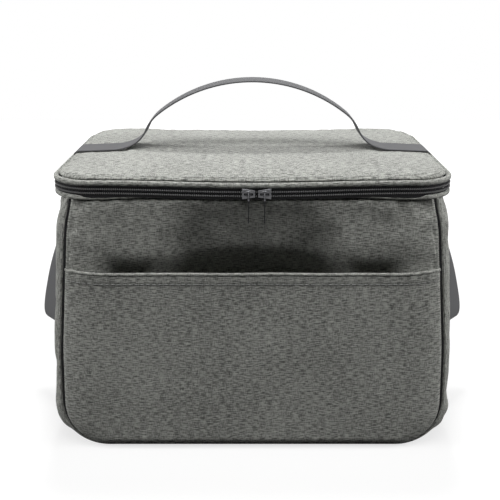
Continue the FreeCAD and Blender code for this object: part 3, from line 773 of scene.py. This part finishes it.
class COOLER_OT_stage(bpy.types.Operator):
    """Lays the floor, hangs the lamps and sets the camera"""

    bl_idname = "cooler.stage"
    bl_label = "Stage"

    # name, place, height aimed at, size and power
    lamps = (("front_lamp", (0.05, -1.0, 2.15), 0.15, 1.5, 25.0),
             ("top_lamp", (0, 0.72, 2.45), 0.2, 0.5, 32.0),
             ("left_lamp", (-2.3, -0.5, 1.2), 0.12, 1.0, 35.0),
             ("right_lamp", (2.3, -0.5, 1.2), 0.12, 1.0, 35.0),
             ("back_lamp", (0, 2.6, 1.3), 0.12, 1.2, 12.0))

    def execute(self, context):
        scene = context.scene
        scene.view_settings.view_transform = "Standard"
        camera = bpy.data.objects.new("camera", bpy.data.cameras.new("camera"))
        camera.data.lens, camera.data.sensor_width = 62.75, 36.0
        camera.data.shift_y = -0.10
        camera.location = (-0.002, -0.7674, 0.3781)
        down = math.radians(14.23)
        camera.rotation_euler = (QUARTER - down, 0, 0)
        scene.collection.objects.link(camera)
        scene.camera = camera
        for lamp in self.lamps:
            self.lamp(scene, *lamp)
        self.world(scene)
        self.floor()
        return {"FINISHED"}

    def lamp(self, scene, name, place, height, size, power):
        lamp = bpy.data.objects.new(name, bpy.data.lights.new(name, "AREA"))
        lamp.data.shape, lamp.data.size, lamp.data.energy = "DISK", size, power
        lamp.location = place
        aim = Vector((0, 0, height)) - Vector(place)
        lamp.rotation_euler = aim.to_track_quat("-Z", "Y").to_euler()
        scene.collection.objects.link(lamp)

    def world(self, scene):
        """Pure white to look at, and nearly dark as a light."""
        scene.world = bpy.data.worlds.new("studio")
        graph = Graph(scene.world)
        white = (1, 1, 1, 1)
        plain = graph.tree.nodes["Background"]
        plain.inputs["Color"].default_value = white
        plain.inputs["Strength"].default_value = 0.006
        graph.end("World Output", Wire(graph, plain.outputs[0]),
                  graph.node("ShaderNodeBackground", None, white))

    def floor(self):
        """White paper that glows more away from the bag, and throws little light back."""
        floor = fresh(bpy.ops.mesh.primitive_plane_add, size=3.2, location=(0, 0, 0))
        floor.name = "floor"
        paper = bpy.data.materials.new("floor_paper")
        graph = Graph(paper)
        graph.tree.nodes.remove(graph.tree.nodes["Principled BSDF"])
        dark, matt = (graph.node("ShaderNodeBsdfDiffuse", None, (grey, grey, grey, 1))
                      for grey in (0.02, 0.3))
        spot = graph.node("ShaderNodeTexCoord", out="Object")
        reach = graph.node("ShaderNodeVectorMath", {"operation": "LENGTH"}, spot, out="Value")
        fade = graph.node("ShaderNodeMapRange", None, reach, 0.35, 1.0, 0.70, 1.0)
        glow = graph.node("ShaderNodeEmission", None, Strength=fade)
        graph.end("Material Output", dark, graph.node("ShaderNodeAddShader", None, matt, glow))
        floor.data.materials.append(paper)


class COOLER_OT_panels(bpy.types.Operator):
    """Sews the padded front and back panels"""

    bl_idname = "cooler.panels"
    bl_label = "Front and back panels"

    def execute(self, context):
        def height(v):
            return row_height(v, 0.26, MOUTH_Z, 0.02)
        for end, side in ENDS:
            def threads(u, v):
                z = height(v)
                return spread(u) * face_half(z), z
            def place(u, v):
                x, z = threads(u, v)
                if side < 0:
                    y = front_face(x, z)
                else:
                    inside = max(min(face_half(z) - abs(x), z - FACE_FLOOR), 0)
                    crown = 1 - (1 - min(inside / 24, 1.0)) ** 2
                    y = PANEL_Y + crown * (1.3 + 0.7 * ripple(x, 40, z, 44)) \
                        * ease((212 - z) / 40) - rolled(inside, 1.8)
                inward, up = tuck(x, z)
                return x - away(inward, x), y - side * up, z
            piece = sheet_of(f"{end}_cloth", 110, 76, place, threads)
            face_towards(piece, (0, side, 0))
            pad(piece, self.sewn, lambda spot: not self.sewn(spot), 0.3)
            put(piece, "bag_body", "oxford_cloth", f"{end}_panel", f"foam_{end}")
        return {"FINISHED"}

    def sewn(self, point):
        """Whether a point is near the seams or the mouth."""
        inside = face_half(min(max(point.z, FACE_FLOOR), MOUTH_Z)) - abs(point.x)
        return inside < 4 or point.z - FACE_FLOOR < 2 or MOUTH_Z - point.z < 1.5


class COOLER_OT_gusset(bpy.types.Operator):
    """Rolls the padded cloth that makes the sides and the floor"""

    bl_idname = "cooler.gusset"
    bl_label = "Sides and floor"

    def execute(self, context):
        round_y = 28.0                # radius of the roll's edges at the panels
        length = 680                  # of the roll, from mouth to mouth
        steep = 0.7                   # radians, from which it is a side and not the floor
        flat_y = SEAM_Y - round_y
        bend = QUARTER * round_y
        total = 2 * (flat_y + bend)
        def station(v):
            """Depth and turn across the roll, from the front seam to the back one."""
            along = (0.5 + spread(v) / 2) * total
            if along < bend:
                turn = QUARTER - along / round_y
                return -flat_y - round_y * math.sin(turn), turn, along
            if along > total - bend:
                turn = (along - total + bend) / round_y
                return flat_y + round_y * math.sin(turn), turn, along
            return along - bend - flat_y, 0.0, along
        def place(u, v):
            y, turn, _ = station(v)
            come_in = 1 - math.cos(turn)
            line = tub(MOUTH_HALF - come_in * 13, LOW_HALF - come_in * 11.8, 4 * come_in,
                       MOUTH_Z, 33 + 3 * come_in)
            point, heading = line(u)
            x, z = point
            outward = Vector((math.sin(heading), -math.cos(heading)))
            swell = 0.0
            if abs(heading) > steep:
                swell = 0.3 * hill(z - 130, 85) - 2.4 * ease((z - 185) / 27)
                swell -= 2.2 * hill(z - 48, 40)
                swell += 0.8 * ripple(x, y, z, 52) + 0.35 * ripple(x, y, z * 1.5, 20)
                swell *= 1 - 0.75 * ease(turn / QUARTER)
            x += outward.x * swell
            z += outward.y * swell
            inward, up = tuck(x, z)
            near = ease((turn - 0.6) / 0.6)
            roll = 1.6 * hill(turn - 1.02, 0.34) * ease((z - 6) / 12) \
                - 1.5 * ease((turn - 1.24) / 0.14)
            if abs(heading) > steep:
                inward -= bulge(z)
            x -= away(inward * near, x)
            y += away(roll - up * near, y)
            return x, y, max(z, 0.05)
        def threads(u, v):
            return u * length, station(v)[2]
        piece = sheet_of("side_cloth", 150, 64, place, threads)
        face(piece, from_core)
        pad(piece, lambda spot: abs(spot.y) > SEAM_Y - 3 or not 8 <= spot.z <= MOUTH_Z - 2)
        put(piece, "bag_body", "oxford_cloth", "gusset", "foam_gusset")
        return {"FINISHED"}


class COOLER_OT_seam_piping(bpy.types.Operator):
    """Sews the piping round the front and back panels, with a black cord in the ditch as painted
    shade for the crease
    """

    bl_idname = "cooler.seam_piping"
    bl_label = "Seam piping"

    def execute(self, context):
        for end, side in ENDS:
            cord = self.line(f"{end}_seam_piping", side, 2.9, 1.9, pill(2.6, 3.0, 1.0))
            put(cord, "bag_body", "oxford_cloth", f"{end}_piping")
            # A black cord in the ditch between panel and piping: painted shade that darkens the
            # seam's crease, not real thread.
            crease_shade = self.line(f"{end}_seam_stitching", side, 0.8, 1.6,
                                  pill(1.7, 1.4, 0.9))
            put(crease_shade, "bag_body", "black_tape")
        return {"FINISHED"}

    def line(self, name, side, out, back, section):
        """A cord along the seam, so far outside the panel's edge and behind its face."""
        path = tub(SEAM[0] + out, SEAM[1] + out, 4.5 - out, MOUTH_Z - 0.2, SEAM[4] + out)
        def lay(point, heading, across, up):
            x, z = beside(point, heading, across)
            inward, pulled = tuck(x, z)
            inward -= bulge(z) * ease((abs(x) - 120) / 20)
            uneven = 0.2 * ripple(point.x, side, point.y, 22)
            return (x - away(inward, x) + uneven,
                    side * (PANEL_Y - back + up - pulled * 1.6), max(z, 0.05))
        return trim_of(name, path, section, 220, lay, 80)


class COOLER_OT_pocket(bpy.types.Operator):
    """Sews the front pocket with its hem and stitches"""

    bl_idname = "cooler.pocket"
    bl_label = "Front pocket"

    def execute(self, context):
        sizes = context.scene.bag_sizes
        hem = sizes.hem / MM
        def mouth(x):
            return 151.9 + 1.6 * ease((abs(x) - 112) / 36) ** 1.5 + 0.35 * ripple(x, 3, 0, 40)
        def surface(x, z):
            inside = max(face_half(z) - abs(x), 0.0)
            belly = 1 - (1 - min(inside / 24, (z - FACE_FLOOR) / 7, 1.0)) ** 2
            folds = 0.6 * ripple(x, 8, z * 0.8, 52) + 0.3 * ripple(x, 2, z, 20)
            edge = rolled(min(inside, z - FACE_FLOOR), 3.2)
            return -(111.8 + (5.4 + folds) * belly) + edge
        def height(x, v):
            return row_height(v, 0.22, mouth(x), 0.05)
        def place(u, v):
            z = height(spread(u) * 150, v)
            x = spread(u) * face_half(z)
            z = height(x, v)
            y = surface(x, z)
            below = mouth(x) - z
            y -= 0.55 * ease((hem + 0.3 - below) / 0.9)
            return x, y, z
        def threads(u, v):
            z = height(0, v)
            return spread(u) * face_half(z), z
        piece = sheet_of("front_pocket_cloth", 104, 96, place, threads)
        face_towards(piece, (0, -1, 0))
        thicken(piece, sizes.cloth)
        soften(piece)
        put(piece, "bag_body", "oxford_cloth", "front_pocket")
        mouth_line = walk((-150, 0), 0, [(300, 0)])
        def lay(point, heading, across, up):
            x = point.x
            return x, surface(x, mouth(x)) + 0.4 + across, mouth(x) + 0.7 + up
        edge = trim_of("pocket_edge", mouth_line, pill(3.0, 2.6, 0.9), 100, lay, 80)
        put(edge, "bag_body", "oxford_cloth")
        line = [(x, surface(x, mouth(x) - hem) - 0.35, mouth(x) - hem)
                for x in range(-148, 149, 2)]
        stitches = row_of("pocket_stitches", one_stitch(sizes.stitch / MM), line,
                          sizes.stitch / MM * 1.45)
        smooth(stitches, 80)
        put(stitches, "bag_body", "sewing_thread")
        return {"FINISHED"}


def one_stitch(length):
    """A single stitch: a short thread whose ends dip into the cloth."""
    piece = fresh(bpy.ops.mesh.primitive_cylinder_add, vertices=6, radius=0.42 * MM,
                  depth=length * MM, location=(length / 2 * MM, 0, 0),
                  rotation=(0, QUARTER, 0))
    bpy.ops.object.transform_apply()
    edit(piece, (bpy.ops.mesh.subdivide, {"number_cuts": 1}))
    for vertex in piece.data.vertices:
        share = vertex.co.x / (length * MM) * 2 - 1
        vertex.co.y += 0.30 * MM * share ** 2
        vertex.co.z *= 1 - 0.35 * abs(share)
    return piece


def one_tooth(depth, height, thick):
    """A zip tooth: a stub with a rounded head, bulged by a bevel."""
    piece = fresh(bpy.ops.mesh.primitive_cube_add, size=1, location=(thick / 2 * MM, 0, 0))
    piece.dimensions = (thick * MM, depth * MM, height * MM)
    bpy.ops.object.transform_apply()
    edit(piece, (bpy.ops.mesh.bevel, {"offset": min(thick, height) * 0.28 * MM, "segments": 1}))
    return piece


def rim_line(half_x, half_y, radius, height, depth, gap, steps=480):
    """Points round the rim, open across the back for a gap each way from its middle."""
    line = rim(half_x, half_y, radius)
    first = gap / line.length
    points = []
    for i in range(steps + 1):
        (x, y), _ = line(first + (1 - 2 * first) * i / steps)
        points.append((x, y, height - sag(x, y, depth)))
    return points


class COOLER_OT_zip(bpy.types.Operator):
    """Makes the tapes, the teeth, the lip under the zip and the band over it"""

    bl_idname = "cooler.zip"
    bl_label = "Zip"

    gap = 124.0                       # from the back's middle to the zip's ends

    def ring(self, name, inset, section, height, depth, open_back=False, draw_in=0.0,
             thin=0.0):
        """A strip round the rim; draw_in and thin narrow it where the sliders run."""
        line = rim(RIM_X - inset, RIM_Y - inset, RIM_RADIUS - inset)
        first = self.gap / line.length if open_back else 0.0
        half = (LIP_HIGH.z - LIP_LOW.z) / 2
        def lay(point, heading, across, up):
            x, y = beside(point, heading, across)
            front = (abs(y) / RIM_Y) ** 4
            slack = (1 - ease((abs(x) - 76) / 44)) * front
            clear = (1 - ease((abs(x) - 126) / 12)) * front
            up = up * (1 - thin * slack) + half * thin * slack
            if thin:
                up = min(up, half + 0.5 - 2.9 * (clear - slack))
            y -= math.copysign(draw_in * clear, y)
            return x, y, height + up - sag(x, y, depth) + 0.18 * ripple(x, y, height, 24)
        return trim_of(name, line, section, 260, lay, 70, closed=not open_back,
                       shares=(first, 1 - first))

    def execute(self, context):
        sizes = context.scene.bag_sizes
        lip = self.ring("lip_roll", 2.1, pill(2.8, LIP_HIGH.z - LIP_LOW.z, 0.55),
                        (LIP_LOW.z + LIP_HIGH.z) / 2 - 0.5, 2.0, draw_in=1.6, thin=0.6)
        put(lip, "bag_body", "oxford_cloth", "zip_lip")
        band = self.ring("band_roll", 2.9, pill(2.4, 2.2, 0.8), BAND_LOW.z + 0.7, 2.2)
        put(band, "lid", "oxford_cloth", "lid_band")
        for half, body, low, high in (("lower", "bag_body", TAPE_LOW.z, ZIP_Z - 0.05),
                                      ("upper", "lid", ZIP_Z + 0.05, UPPER_TAPE_HIGH.z)):
            tape = self.ring(f"{half}_tape", 2.6, pill(0.8, high - low, 0.4),
                             (low + high) / 2, 2.0, open_back=True)
            put(tape, body, "black_tape", f"zip_tape_{half}", slot="zip_tape")
        pitch = sizes.tooth_pitch / MM
        for half, body, off in (("lower", "bag_body", -1.6), ("upper", "lid", 1.6)):
            line = rim_line(RIM_X - 1.5, RIM_Y - 1.5, RIM_RADIUS - 1.5, ZIP_Z + 0.1 + off, 2.5,
                            self.gap)
            teeth = row_of(f"{half}_teeth", one_tooth(2.0, 1.15, pitch * 0.56), line, pitch)
            smooth(teeth, 40)
            put(teeth, body, "zip_nylon", f"zip_coil_{half}", slot="zip_teeth")
        return {"FINISHED"}


class COOLER_OT_hinge_cloth(bpy.types.Operator):
    """Sews the cloth that joins the lid to the back"""

    bl_idname = "cooler.hinge_cloth"
    bl_label = "Hinge cloth"

    def execute(self, context):
        low, high = HINGE_LOW.z, UPPER_HINGE_HIGH.z
        half = HINGE_HIGH.x
        depth = (HINGE_LOW.y + HINGE_HIGH.y) / 2
        def place(u, v):
            x, z = (2 * u - 1) * half, low + (high - low) * v
            return x, depth + 0.6 * math.sin(math.pi * v) + 0.2 * ripple(x, 0, z, 16), z
        piece = sheet_of("hinge_cloth", 90, 16, place,
                         lambda u, v: ((2 * u - 1) * half, (high - low) * v))
        face_towards(piece, (0, 1, 0))
        thicken(piece, context.scene.bag_sizes.cloth)
        smooth(piece)
        piece.data.materials.append(finish("oxford_cloth"))
        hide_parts("hinge_cloth_lower", "hinge_cloth_upper")
        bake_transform(piece)
        return {"FINISHED"}


class COOLER_OT_lid(bpy.types.Operator):
    """Sews the padded lid, its piping and its foil underside"""

    bl_idname = "cooler.lid"
    bl_label = "Lid"

    def execute(self, context):
        half_x, half_y = RIM_X - LID_INSET, RIM_Y - LID_INSET
        radius = RIM_RADIUS - LID_INSET
        def depth(v):
            end = 0.2
            if v < end:
                return -half_y + radius * (1 - math.cos(QUARTER * v / end))
            if v > 1 - end:
                return half_y - radius * (1 - math.cos(QUARTER * (1 - v) / end))
            return (half_y - radius) * (2 * (v - end) / (1 - 2 * end) - 1)
        def place(u, v):
            y = depth(v)
            y = math.copysign(min(abs(y), half_y - 0.01), y)
            x = spread(u) * rim_half(y, half_x, half_y, radius)
            return x, y, lid_top(x, y)
        def threads(u, v):
            y = depth(v)
            return spread(u) * rim_half(y, half_x, half_y, radius), y
        piece = sheet_of("lid_cloth", 110, 84, place, threads)
        face_towards(piece, (0, 0, 1))
        def inside(spot):
            y = math.copysign(min(abs(spot.y), half_y), spot.y)
            return min(rim_half(y, half_x, half_y, radius) - abs(spot.x), half_y - abs(spot.y))
        def held(spot):
            under_tabs = abs(spot.y) < 18 and abs(spot.x) > 110
            return inside(spot) < 3 or spot.z < RIM_Z - 4 or under_tabs
        pad(piece, held, lambda spot: inside(spot) > 2.5, 0.25)
        put(piece, "lid", "oxford_cloth", "lid_panel", "lid_foam")
        self.piping()
        self.underside()
        return {"FINISHED"}

    def piping(self):
        line = rim(RIM_X - 2.0, RIM_Y - 2.0, RIM_RADIUS - 2.0)
        height = (LID_PIPING_LOW.z + LID_PIPING_HIGH.z) / 2 - 2.2
        def lay(point, heading, across, up):
            x, y = beside(point, heading, across)
            return x, y, height + up - sag(x, y, 2.2) + 0.25 * ripple(x, y, 0, 18)
        piece = trim_of("lid_rim_piping", line, pill(4.1, 4.5, 0.9), 320, lay, 80, closed=True)
        put(piece, "lid", "oxford_cloth", "lid_piping")

    def underside(self):
        half_x, half_y = LINING_HIGH.x, LINING_HIGH.y
        radius = RIM_RADIUS - 6.6
        just_short = 0.99999          # keeps the outer rows from closing to a point
        def threads(u, v):
            y = half_y * math.sin(QUARTER * (2 * v - 1)) * just_short
            return (2 * u - 1) * rim_half(y, half_x, half_y, radius), y
        def place(u, v):
            x, y = threads(u, v)
            puff = hill(x, half_x) * hill(y, half_y)
            return x, y, LINING_HIGH.z - 0.1 - 0.4 * puff + 0.15 * ripple(x, y, 0, 20)
        lining = sheet_of("lid_lining", 60, 44, place, threads)
        face_towards(lining, (0, 0, -1))
        thicken(lining, LID_FOIL)
        smooth(lining)
        put(lining, "lid", "foil_lining", "lid_liner", slot="foil")
        bind("lid_edge_binding", "lid", "lid_binding", LINING_LOW.z + 0.2, 1.3)


def bind(name, body, node, height, thick):
    """Folds black tape over the lining's edge."""
    def lay(point, heading, across, up):
        return *beside(point, heading, across), height + up
    piece = trim_of(name, rim(152, 107, RIM_RADIUS - 8), pill(6.0, thick, 0.5), 220, lay, 70,
                    closed=True)
    put(piece, body, "black_tape", node, slot="binding")


class COOLER_OT_lining(bpy.types.Operator):
    """Lines the inside with foil and binds the mouth"""

    bl_idname = "cooler.lining"
    bl_label = "Lining"

    def execute(self, context):
        shell = (149.1, 160.9, 6.5, MOUTH_Z, 30.0)
        line = tub(*shell)
        floor, half_y, wall_y = 6.6, 103.6, 103.4
        def drawn(z):
            return 8.0 * ease((z - 20) / 40)
        def place(u, v):
            y = -half_y + 2 * half_y * v
            (x, z), _ = line(u)
            x -= math.copysign(drawn(z) * ease((abs(y) - 80) / 23), x)
            return x + 0.4 * ripple(x, y, z, 26), y, max(z + 0.4 * ripple(y, x, z, 24), floor)
        sides = sheet_of("lining_sides", 90, 30, place,
                         lambda u, v: (u * line.length, 2 * half_y * v))
        face(sides, lambda spot: -from_core(spot))
        thicken(sides, FOIL)
        smooth(sides)
        put(sides, "bag_body", "foil_lining", "liner_tub", slot="foil")
        for end, side in ENDS:
            def wall(u, v):
                z = floor + (MOUTH_Z - floor) * v
                x = (2 * u - 1) * (tub_half(z, *shell) - drawn(z))
                y = wall_y if side > 0 else max(front_face(x, z) + 8.2, -wall_y)
                return x, y - side * 0.3 * ripple(x, y, z, 24), z
            panel = sheet_of(f"lining_{end}", 60, 44, wall,
                             lambda u, v: ((2 * u - 1) * 150, 206 * v))
            face_towards(panel, (0, -side, 0))
            thicken(panel, FOIL)
            smooth(panel)
            put(panel, "bag_body", "foil_lining", slot="foil")
        bind("mouth_edge_binding", "bag_body", "mouth_binding",
             (MOUTH_LOW.z + MOUTH_HIGH.z) / 2, 1.5)
        return {"FINISHED"}


class COOLER_OT_handle(bpy.types.Operator):
    """Sews the webbing handle to the lid"""

    bl_idname = "cooler.handle"
    bl_label = "Handle"

    def execute(self, context):
        sizes = context.scene.bag_sizes
        flat = TAB_HIGH.x - 122.0
        foot, shoulder, crown = 31.5, 35.5, 132.9
        rise, ease_in, over = math.radians(66.8), math.radians(28.5), math.radians(76.6)
        line = walk((-TAB_HIGH.x, RIM_Z + 0.9), 0,
                    [(flat, 0), (foot * rise, rise), (shoulder * ease_in, -ease_in),
                     (crown * over, -over), (shoulder * ease_in, -ease_in),
                     (foot * rise, rise), (flat, 0)])
        def lay(point, heading, across, up):
            x, z = beside(point, heading, across)
            share = ease((abs(x) - 92) / 24)
            return x, up, z + (lid_top(x, 0) - RIM_Z + 0.5) * share
        section = pill(sizes.webbing / MM, sizes.webbing_width / MM, 0.32)
        piece = trim_of("handle_webbing", line, section, 240, lay, 60, rows=28)
        piece.data.materials.append(finish("webbing"))
        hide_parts("handle_strap", "handle_tab_left", "handle_tab_right")
        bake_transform(piece)
        return {"FINISHED"}


def curve_through(points):
    """A smooth open line through points, as place(share) -> point, heading."""
    spots = [Vector(point) for point in points]
    dense = []
    for i in range(len(spots) - 1):
        before = spots[max(i - 1, 0)]
        after = spots[min(i + 2, len(spots) - 1)]
        start, end = spots[i], spots[i + 1]
        part = interpolate_bezier(start.to_3d(), (start + (end - before) / 6).to_3d(),
                                  (end - (after - start) / 6).to_3d(), end.to_3d(), 24)
        dense += [knot.to_2d() for knot in part[:-1]]
    dense.append(spots[-1])
    marks = [0.0]
    for a, b in zip(dense, dense[1:]):
        marks.append(marks[-1] + (b - a).length)
    def place(share):
        along = min(max(share, 0.0), 1.0) * marks[-1]
        i = 0
        while i < len(marks) - 2 and marks[i + 1] < along:
            i += 1
        step = dense[i + 1] - dense[i]
        point = dense[i] + step * ((along - marks[i]) / (marks[i + 1] - marks[i]))
        return point, math.atan2(step.y, step.x)
    place.length = marks[-1]
    return place


class COOLER_OT_side_loops(bpy.types.Operator):
    """Hangs a webbing loop from each side"""

    bl_idname = "cooler.side_loops"
    bl_label = "Side loops"

    def execute(self, context):
        width = LOOP_HIGH.y - LOOP_LOW.y
        route = [(157.2, 212.2), (157.3, 205), (158.8, 190), (162.2, 160), (167.0, 128),
                 (174.2, 98), (180.2, 82), (183.6, 74.4), (186.4, 70.8), (189.3, 73.0),
                 (190.2, 80), (188.6, 93), (184.2, 114), (178.4, 138), (170.6, 166),
                 (162.6, 192), (159.4, 205), (159.1, 212.2)]
        for hand, side in HANDS:
            nodes = f"side_loop_{hand}", f"loop_anchor_{hand}"
            piece = self.hang(f"{hand}_loop_webbing", curve_through(route), width,
                              context.scene.bag_sizes.webbing / MM, side)
            piece.data.materials.append(finish("webbing"))
            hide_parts(*nodes)
            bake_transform(piece)
        return {"FINISHED"}

    def hang(self, name, line, width, thickness, side):
        """One loop, whose outer strand turns its flat a little to the front."""
        section, most = pill(thickness, width, 0.32), math.radians(30)
        def place(u, v):
            point, heading = line(u)
            thick, wide = section(v)
            twist = most * ease((u - 0.34) / 0.14) * (1 - ease((u - 0.62) / 0.32))
            out = math.sin(heading) * thick
            bottom = hill(u - 0.50, 0.14)
            low = 5 * (wide / width + 0.5) * bottom
            return (side * (point.x + 1.5 * bottom - 4.5 * math.sin(twist) + out * math.cos(twist)
                            + wide * math.sin(twist)),
                    wide * math.cos(twist) - out * math.sin(twist),
                    point.y - math.cos(heading) * thick - low)
        girth = 2 * (width + thickness)
        piece = sheet_of(name, 200, 28, place, lambda u, v: (u * line.length, v * girth),
                         closed=True, capped=True)
        smooth(piece, 60)
        return piece


def block(low, high, bevel, segments=2):
    """A cube of that size and place with every edge bevelled."""
    low, high = Vector(low), Vector(high)
    piece = fresh(bpy.ops.mesh.primitive_cube_add, size=1)
    piece.scale, piece.location = (high - low) * MM, (low + high) / 2 * MM
    bpy.ops.object.transform_apply()
    edit(piece, (bpy.ops.mesh.bevel, {"offset": bevel * MM, "segments": segments}))
    return piece


def wire_ring(centre, half_x, half_y, half_z, wire):
    """A closed wire loop in the x-z plane, or in the y-z plane where half_x is 0."""
    turn = (QUARTER, 0, 0) if half_x else (0, QUARTER, 0)
    tube = 0.2
    piece = fresh(bpy.ops.mesh.primitive_torus_add, major_radius=1.0, minor_radius=tube,
                  major_segments=32, minor_segments=8, rotation=turn)
    bpy.ops.object.transform_apply()
    for vertex in piece.data.vertices:
        x, y, z = vertex.co
        reach = math.hypot(x if half_x else y, z)
        around = ((x if half_x else y) / reach, z / reach)
        out = (reach - 1) * wire / tube
        side = (y if half_x else x) * wire / tube
        across = around[0] * ((half_x or half_y) + out)
        up = around[1] * (half_z + out)
        place = (across, side, up) if half_x else (side, across, up)
        vertex.co = (Vector(centre) + Vector(place)) * MM
    return piece


def joined(name, *pieces):
    """Several parts as one piece."""
    bpy.ops.object.select_all(action="DESELECT")
    for piece in pieces:
        piece.select_set(True)
    bpy.context.view_layer.objects.active = pieces[0]
    bpy.ops.object.join()
    whole = bpy.context.object
    whole.name = whole.data.name = name
    return whole


class COOLER_OT_metal(bpy.types.Operator):
    """Casts the zip sliders with their eye-shaped bridges, and hangs the flat pullers"""

    bl_idname = "cooler.metal"
    bl_label = "Sliders and pullers"

    drop = 1.4                        # how far the zip's line hangs down at the middle
    front_plate = -117.0, -115.9      # depths of the plates' faces
    back_plate = -112.6, -111.6
    eye_half, puller_y = 4.3, -118.6  # half the bridge's length, and the pullers' depth

    def execute(self, context):
        for hand, side in HANDS:
            self.slider(hand, side)
            self.puller(hand)
        return {"FINISHED"}

    def slider(self, hand, side):
        low, high = edges(f"slider_{hand}")
        low.z, high.z = low.z - self.drop, high.z - self.drop
        middle = (low + high) / 2
        near, far = self.front_plate
        front = block((low.x + 0.2, near, low.z + 0.3), (high.x - 0.2, far, high.z - 0.3),
                      0.42, 3)
        nose = high.x if side < 0 else low.x
        squeeze(front, 2, middle.z, lambda spot: 0.34 * ease(1 - abs(spot.x - nose) / 4.5))
        near, far = self.back_plate
        back = block((low.x + 0.6, near, low.z + 0.8), (high.x - 0.6, far, high.z - 0.8), 0.4)
        neck = block((middle.x - 1.4, -116.4, middle.z - 0.7),
                     (middle.x + 1.4, -112.2, middle.z + 0.7), 0.3)
        half = self.eye_half
        eye = wire_ring((middle.x, -117.9, middle.z + 0.1), half, 0, 2.05, 0.55)
        post = [block((middle.x + end * half - 0.8, -118.1, middle.z - 0.6),
                      (middle.x + end * half + 0.8, -116.4, middle.z + 0.8), 0.3)
                for end in (-1, 1)]
        piece = joined(f"zip_slider_{hand}", front, back, neck, eye, *post)
        smooth(piece, 40)
        put(piece, f"slider_{hand}", "dark_nickel", f"slider_{hand}", slot="slider_metal")
        well = block((middle.x - half, -117.35, middle.z - 1.9),
                     (middle.x + half, -116.9, middle.z + 2.1), 0.15, 3)
        squeeze(well, 2, middle.z,
                lambda spot: 0.8 * min(abs(spot.x - middle.x) / half, 1.0) ** 2)
        well.name = well.data.name = f"zip_slider_{hand}_well"
        put(well, f"slider_{hand}", "black_enamel", slot="slider_metal")

    def puller(self, hand):
        low, high = edges(f"puller_{hand}")
        x, y = (low.x + high.x) / 2, self.puller_y
        top = high.z - self.drop - 1.6
        blade_top = top - 4.4
        blade = block((x - 0.4, y - 1.4, low.z), (x + 0.4, y + 1.4, blade_top), 0.25, 3)
        squeeze(blade, 1, y, lambda spot: 0.4 * (spot.z - low.z) / (blade_top - low.z))
        blade.name = blade.data.name = f"zip_puller_{hand}"
        put(blade, f"puller_{hand}", "black_enamel", f"puller_{hand}", slot="slider_metal")
        eye = wire_ring((x, y, top - 1.6), 0, 1.6, 2.4, 0.55)
        clasp = block((x - 0.7, y - 0.9, top - 5.8), (x + 0.7, y + 0.9, top - 3.6), 0.3, 2)
        bead = wire_ring((x, y, low.z + 1.7), 0, 0.8, 0.8, 0.6)
        rings = joined(f"zip_puller_{hand}_rings", eye, clasp, bead)
        smooth(rings, 40)
        put(rings, f"puller_{hand}", "dark_nickel", slot="slider_metal")


STEPS = (COOLER_OT_stage, COOLER_OT_panels, COOLER_OT_gusset, COOLER_OT_seam_piping,
         COOLER_OT_pocket, COOLER_OT_zip, COOLER_OT_hinge_cloth, COOLER_OT_lid,
         COOLER_OT_lining, COOLER_OT_handle, COOLER_OT_side_loops, COOLER_OT_metal)


class COOLER_PT_panel(bpy.types.Panel):
    """Lists the bag's making steps, sizes and colours"""

    bl_idname = "COOLER_PT_panel"
    bl_label = "Cooler Bag"
    bl_space_type = "VIEW_3D"
    bl_region_type = "UI"
    bl_category = "Cooler Bag"

    def draw(self, context):
        for group in (context.scene.bag_sizes, context.scene.bag_colours):
            for name in group.__annotations__:
                self.layout.prop(group, name)
        for step in STEPS:
            self.layout.operator(step.bl_idname)


CLASSES = (BagSizes, BagColours, *STEPS, COOLER_PT_panel)


def register():
    for kind in CLASSES:
        bpy.utils.register_class(kind)
    bpy.types.Scene.bag_sizes = bpy.props.PointerProperty(type=BagSizes)
    bpy.types.Scene.bag_colours = bpy.props.PointerProperty(type=BagColours)


def unregister():
    del bpy.types.Scene.bag_colours, bpy.types.Scene.bag_sizes
    for kind in reversed(CLASSES):
        bpy.utils.unregister_class(kind)


def main():
    register()
    for step in STEPS:
        group, name = step.bl_idname.split(".")
        getattr(getattr(bpy.ops, group), name)()


if __name__ == "__main__":
    main()
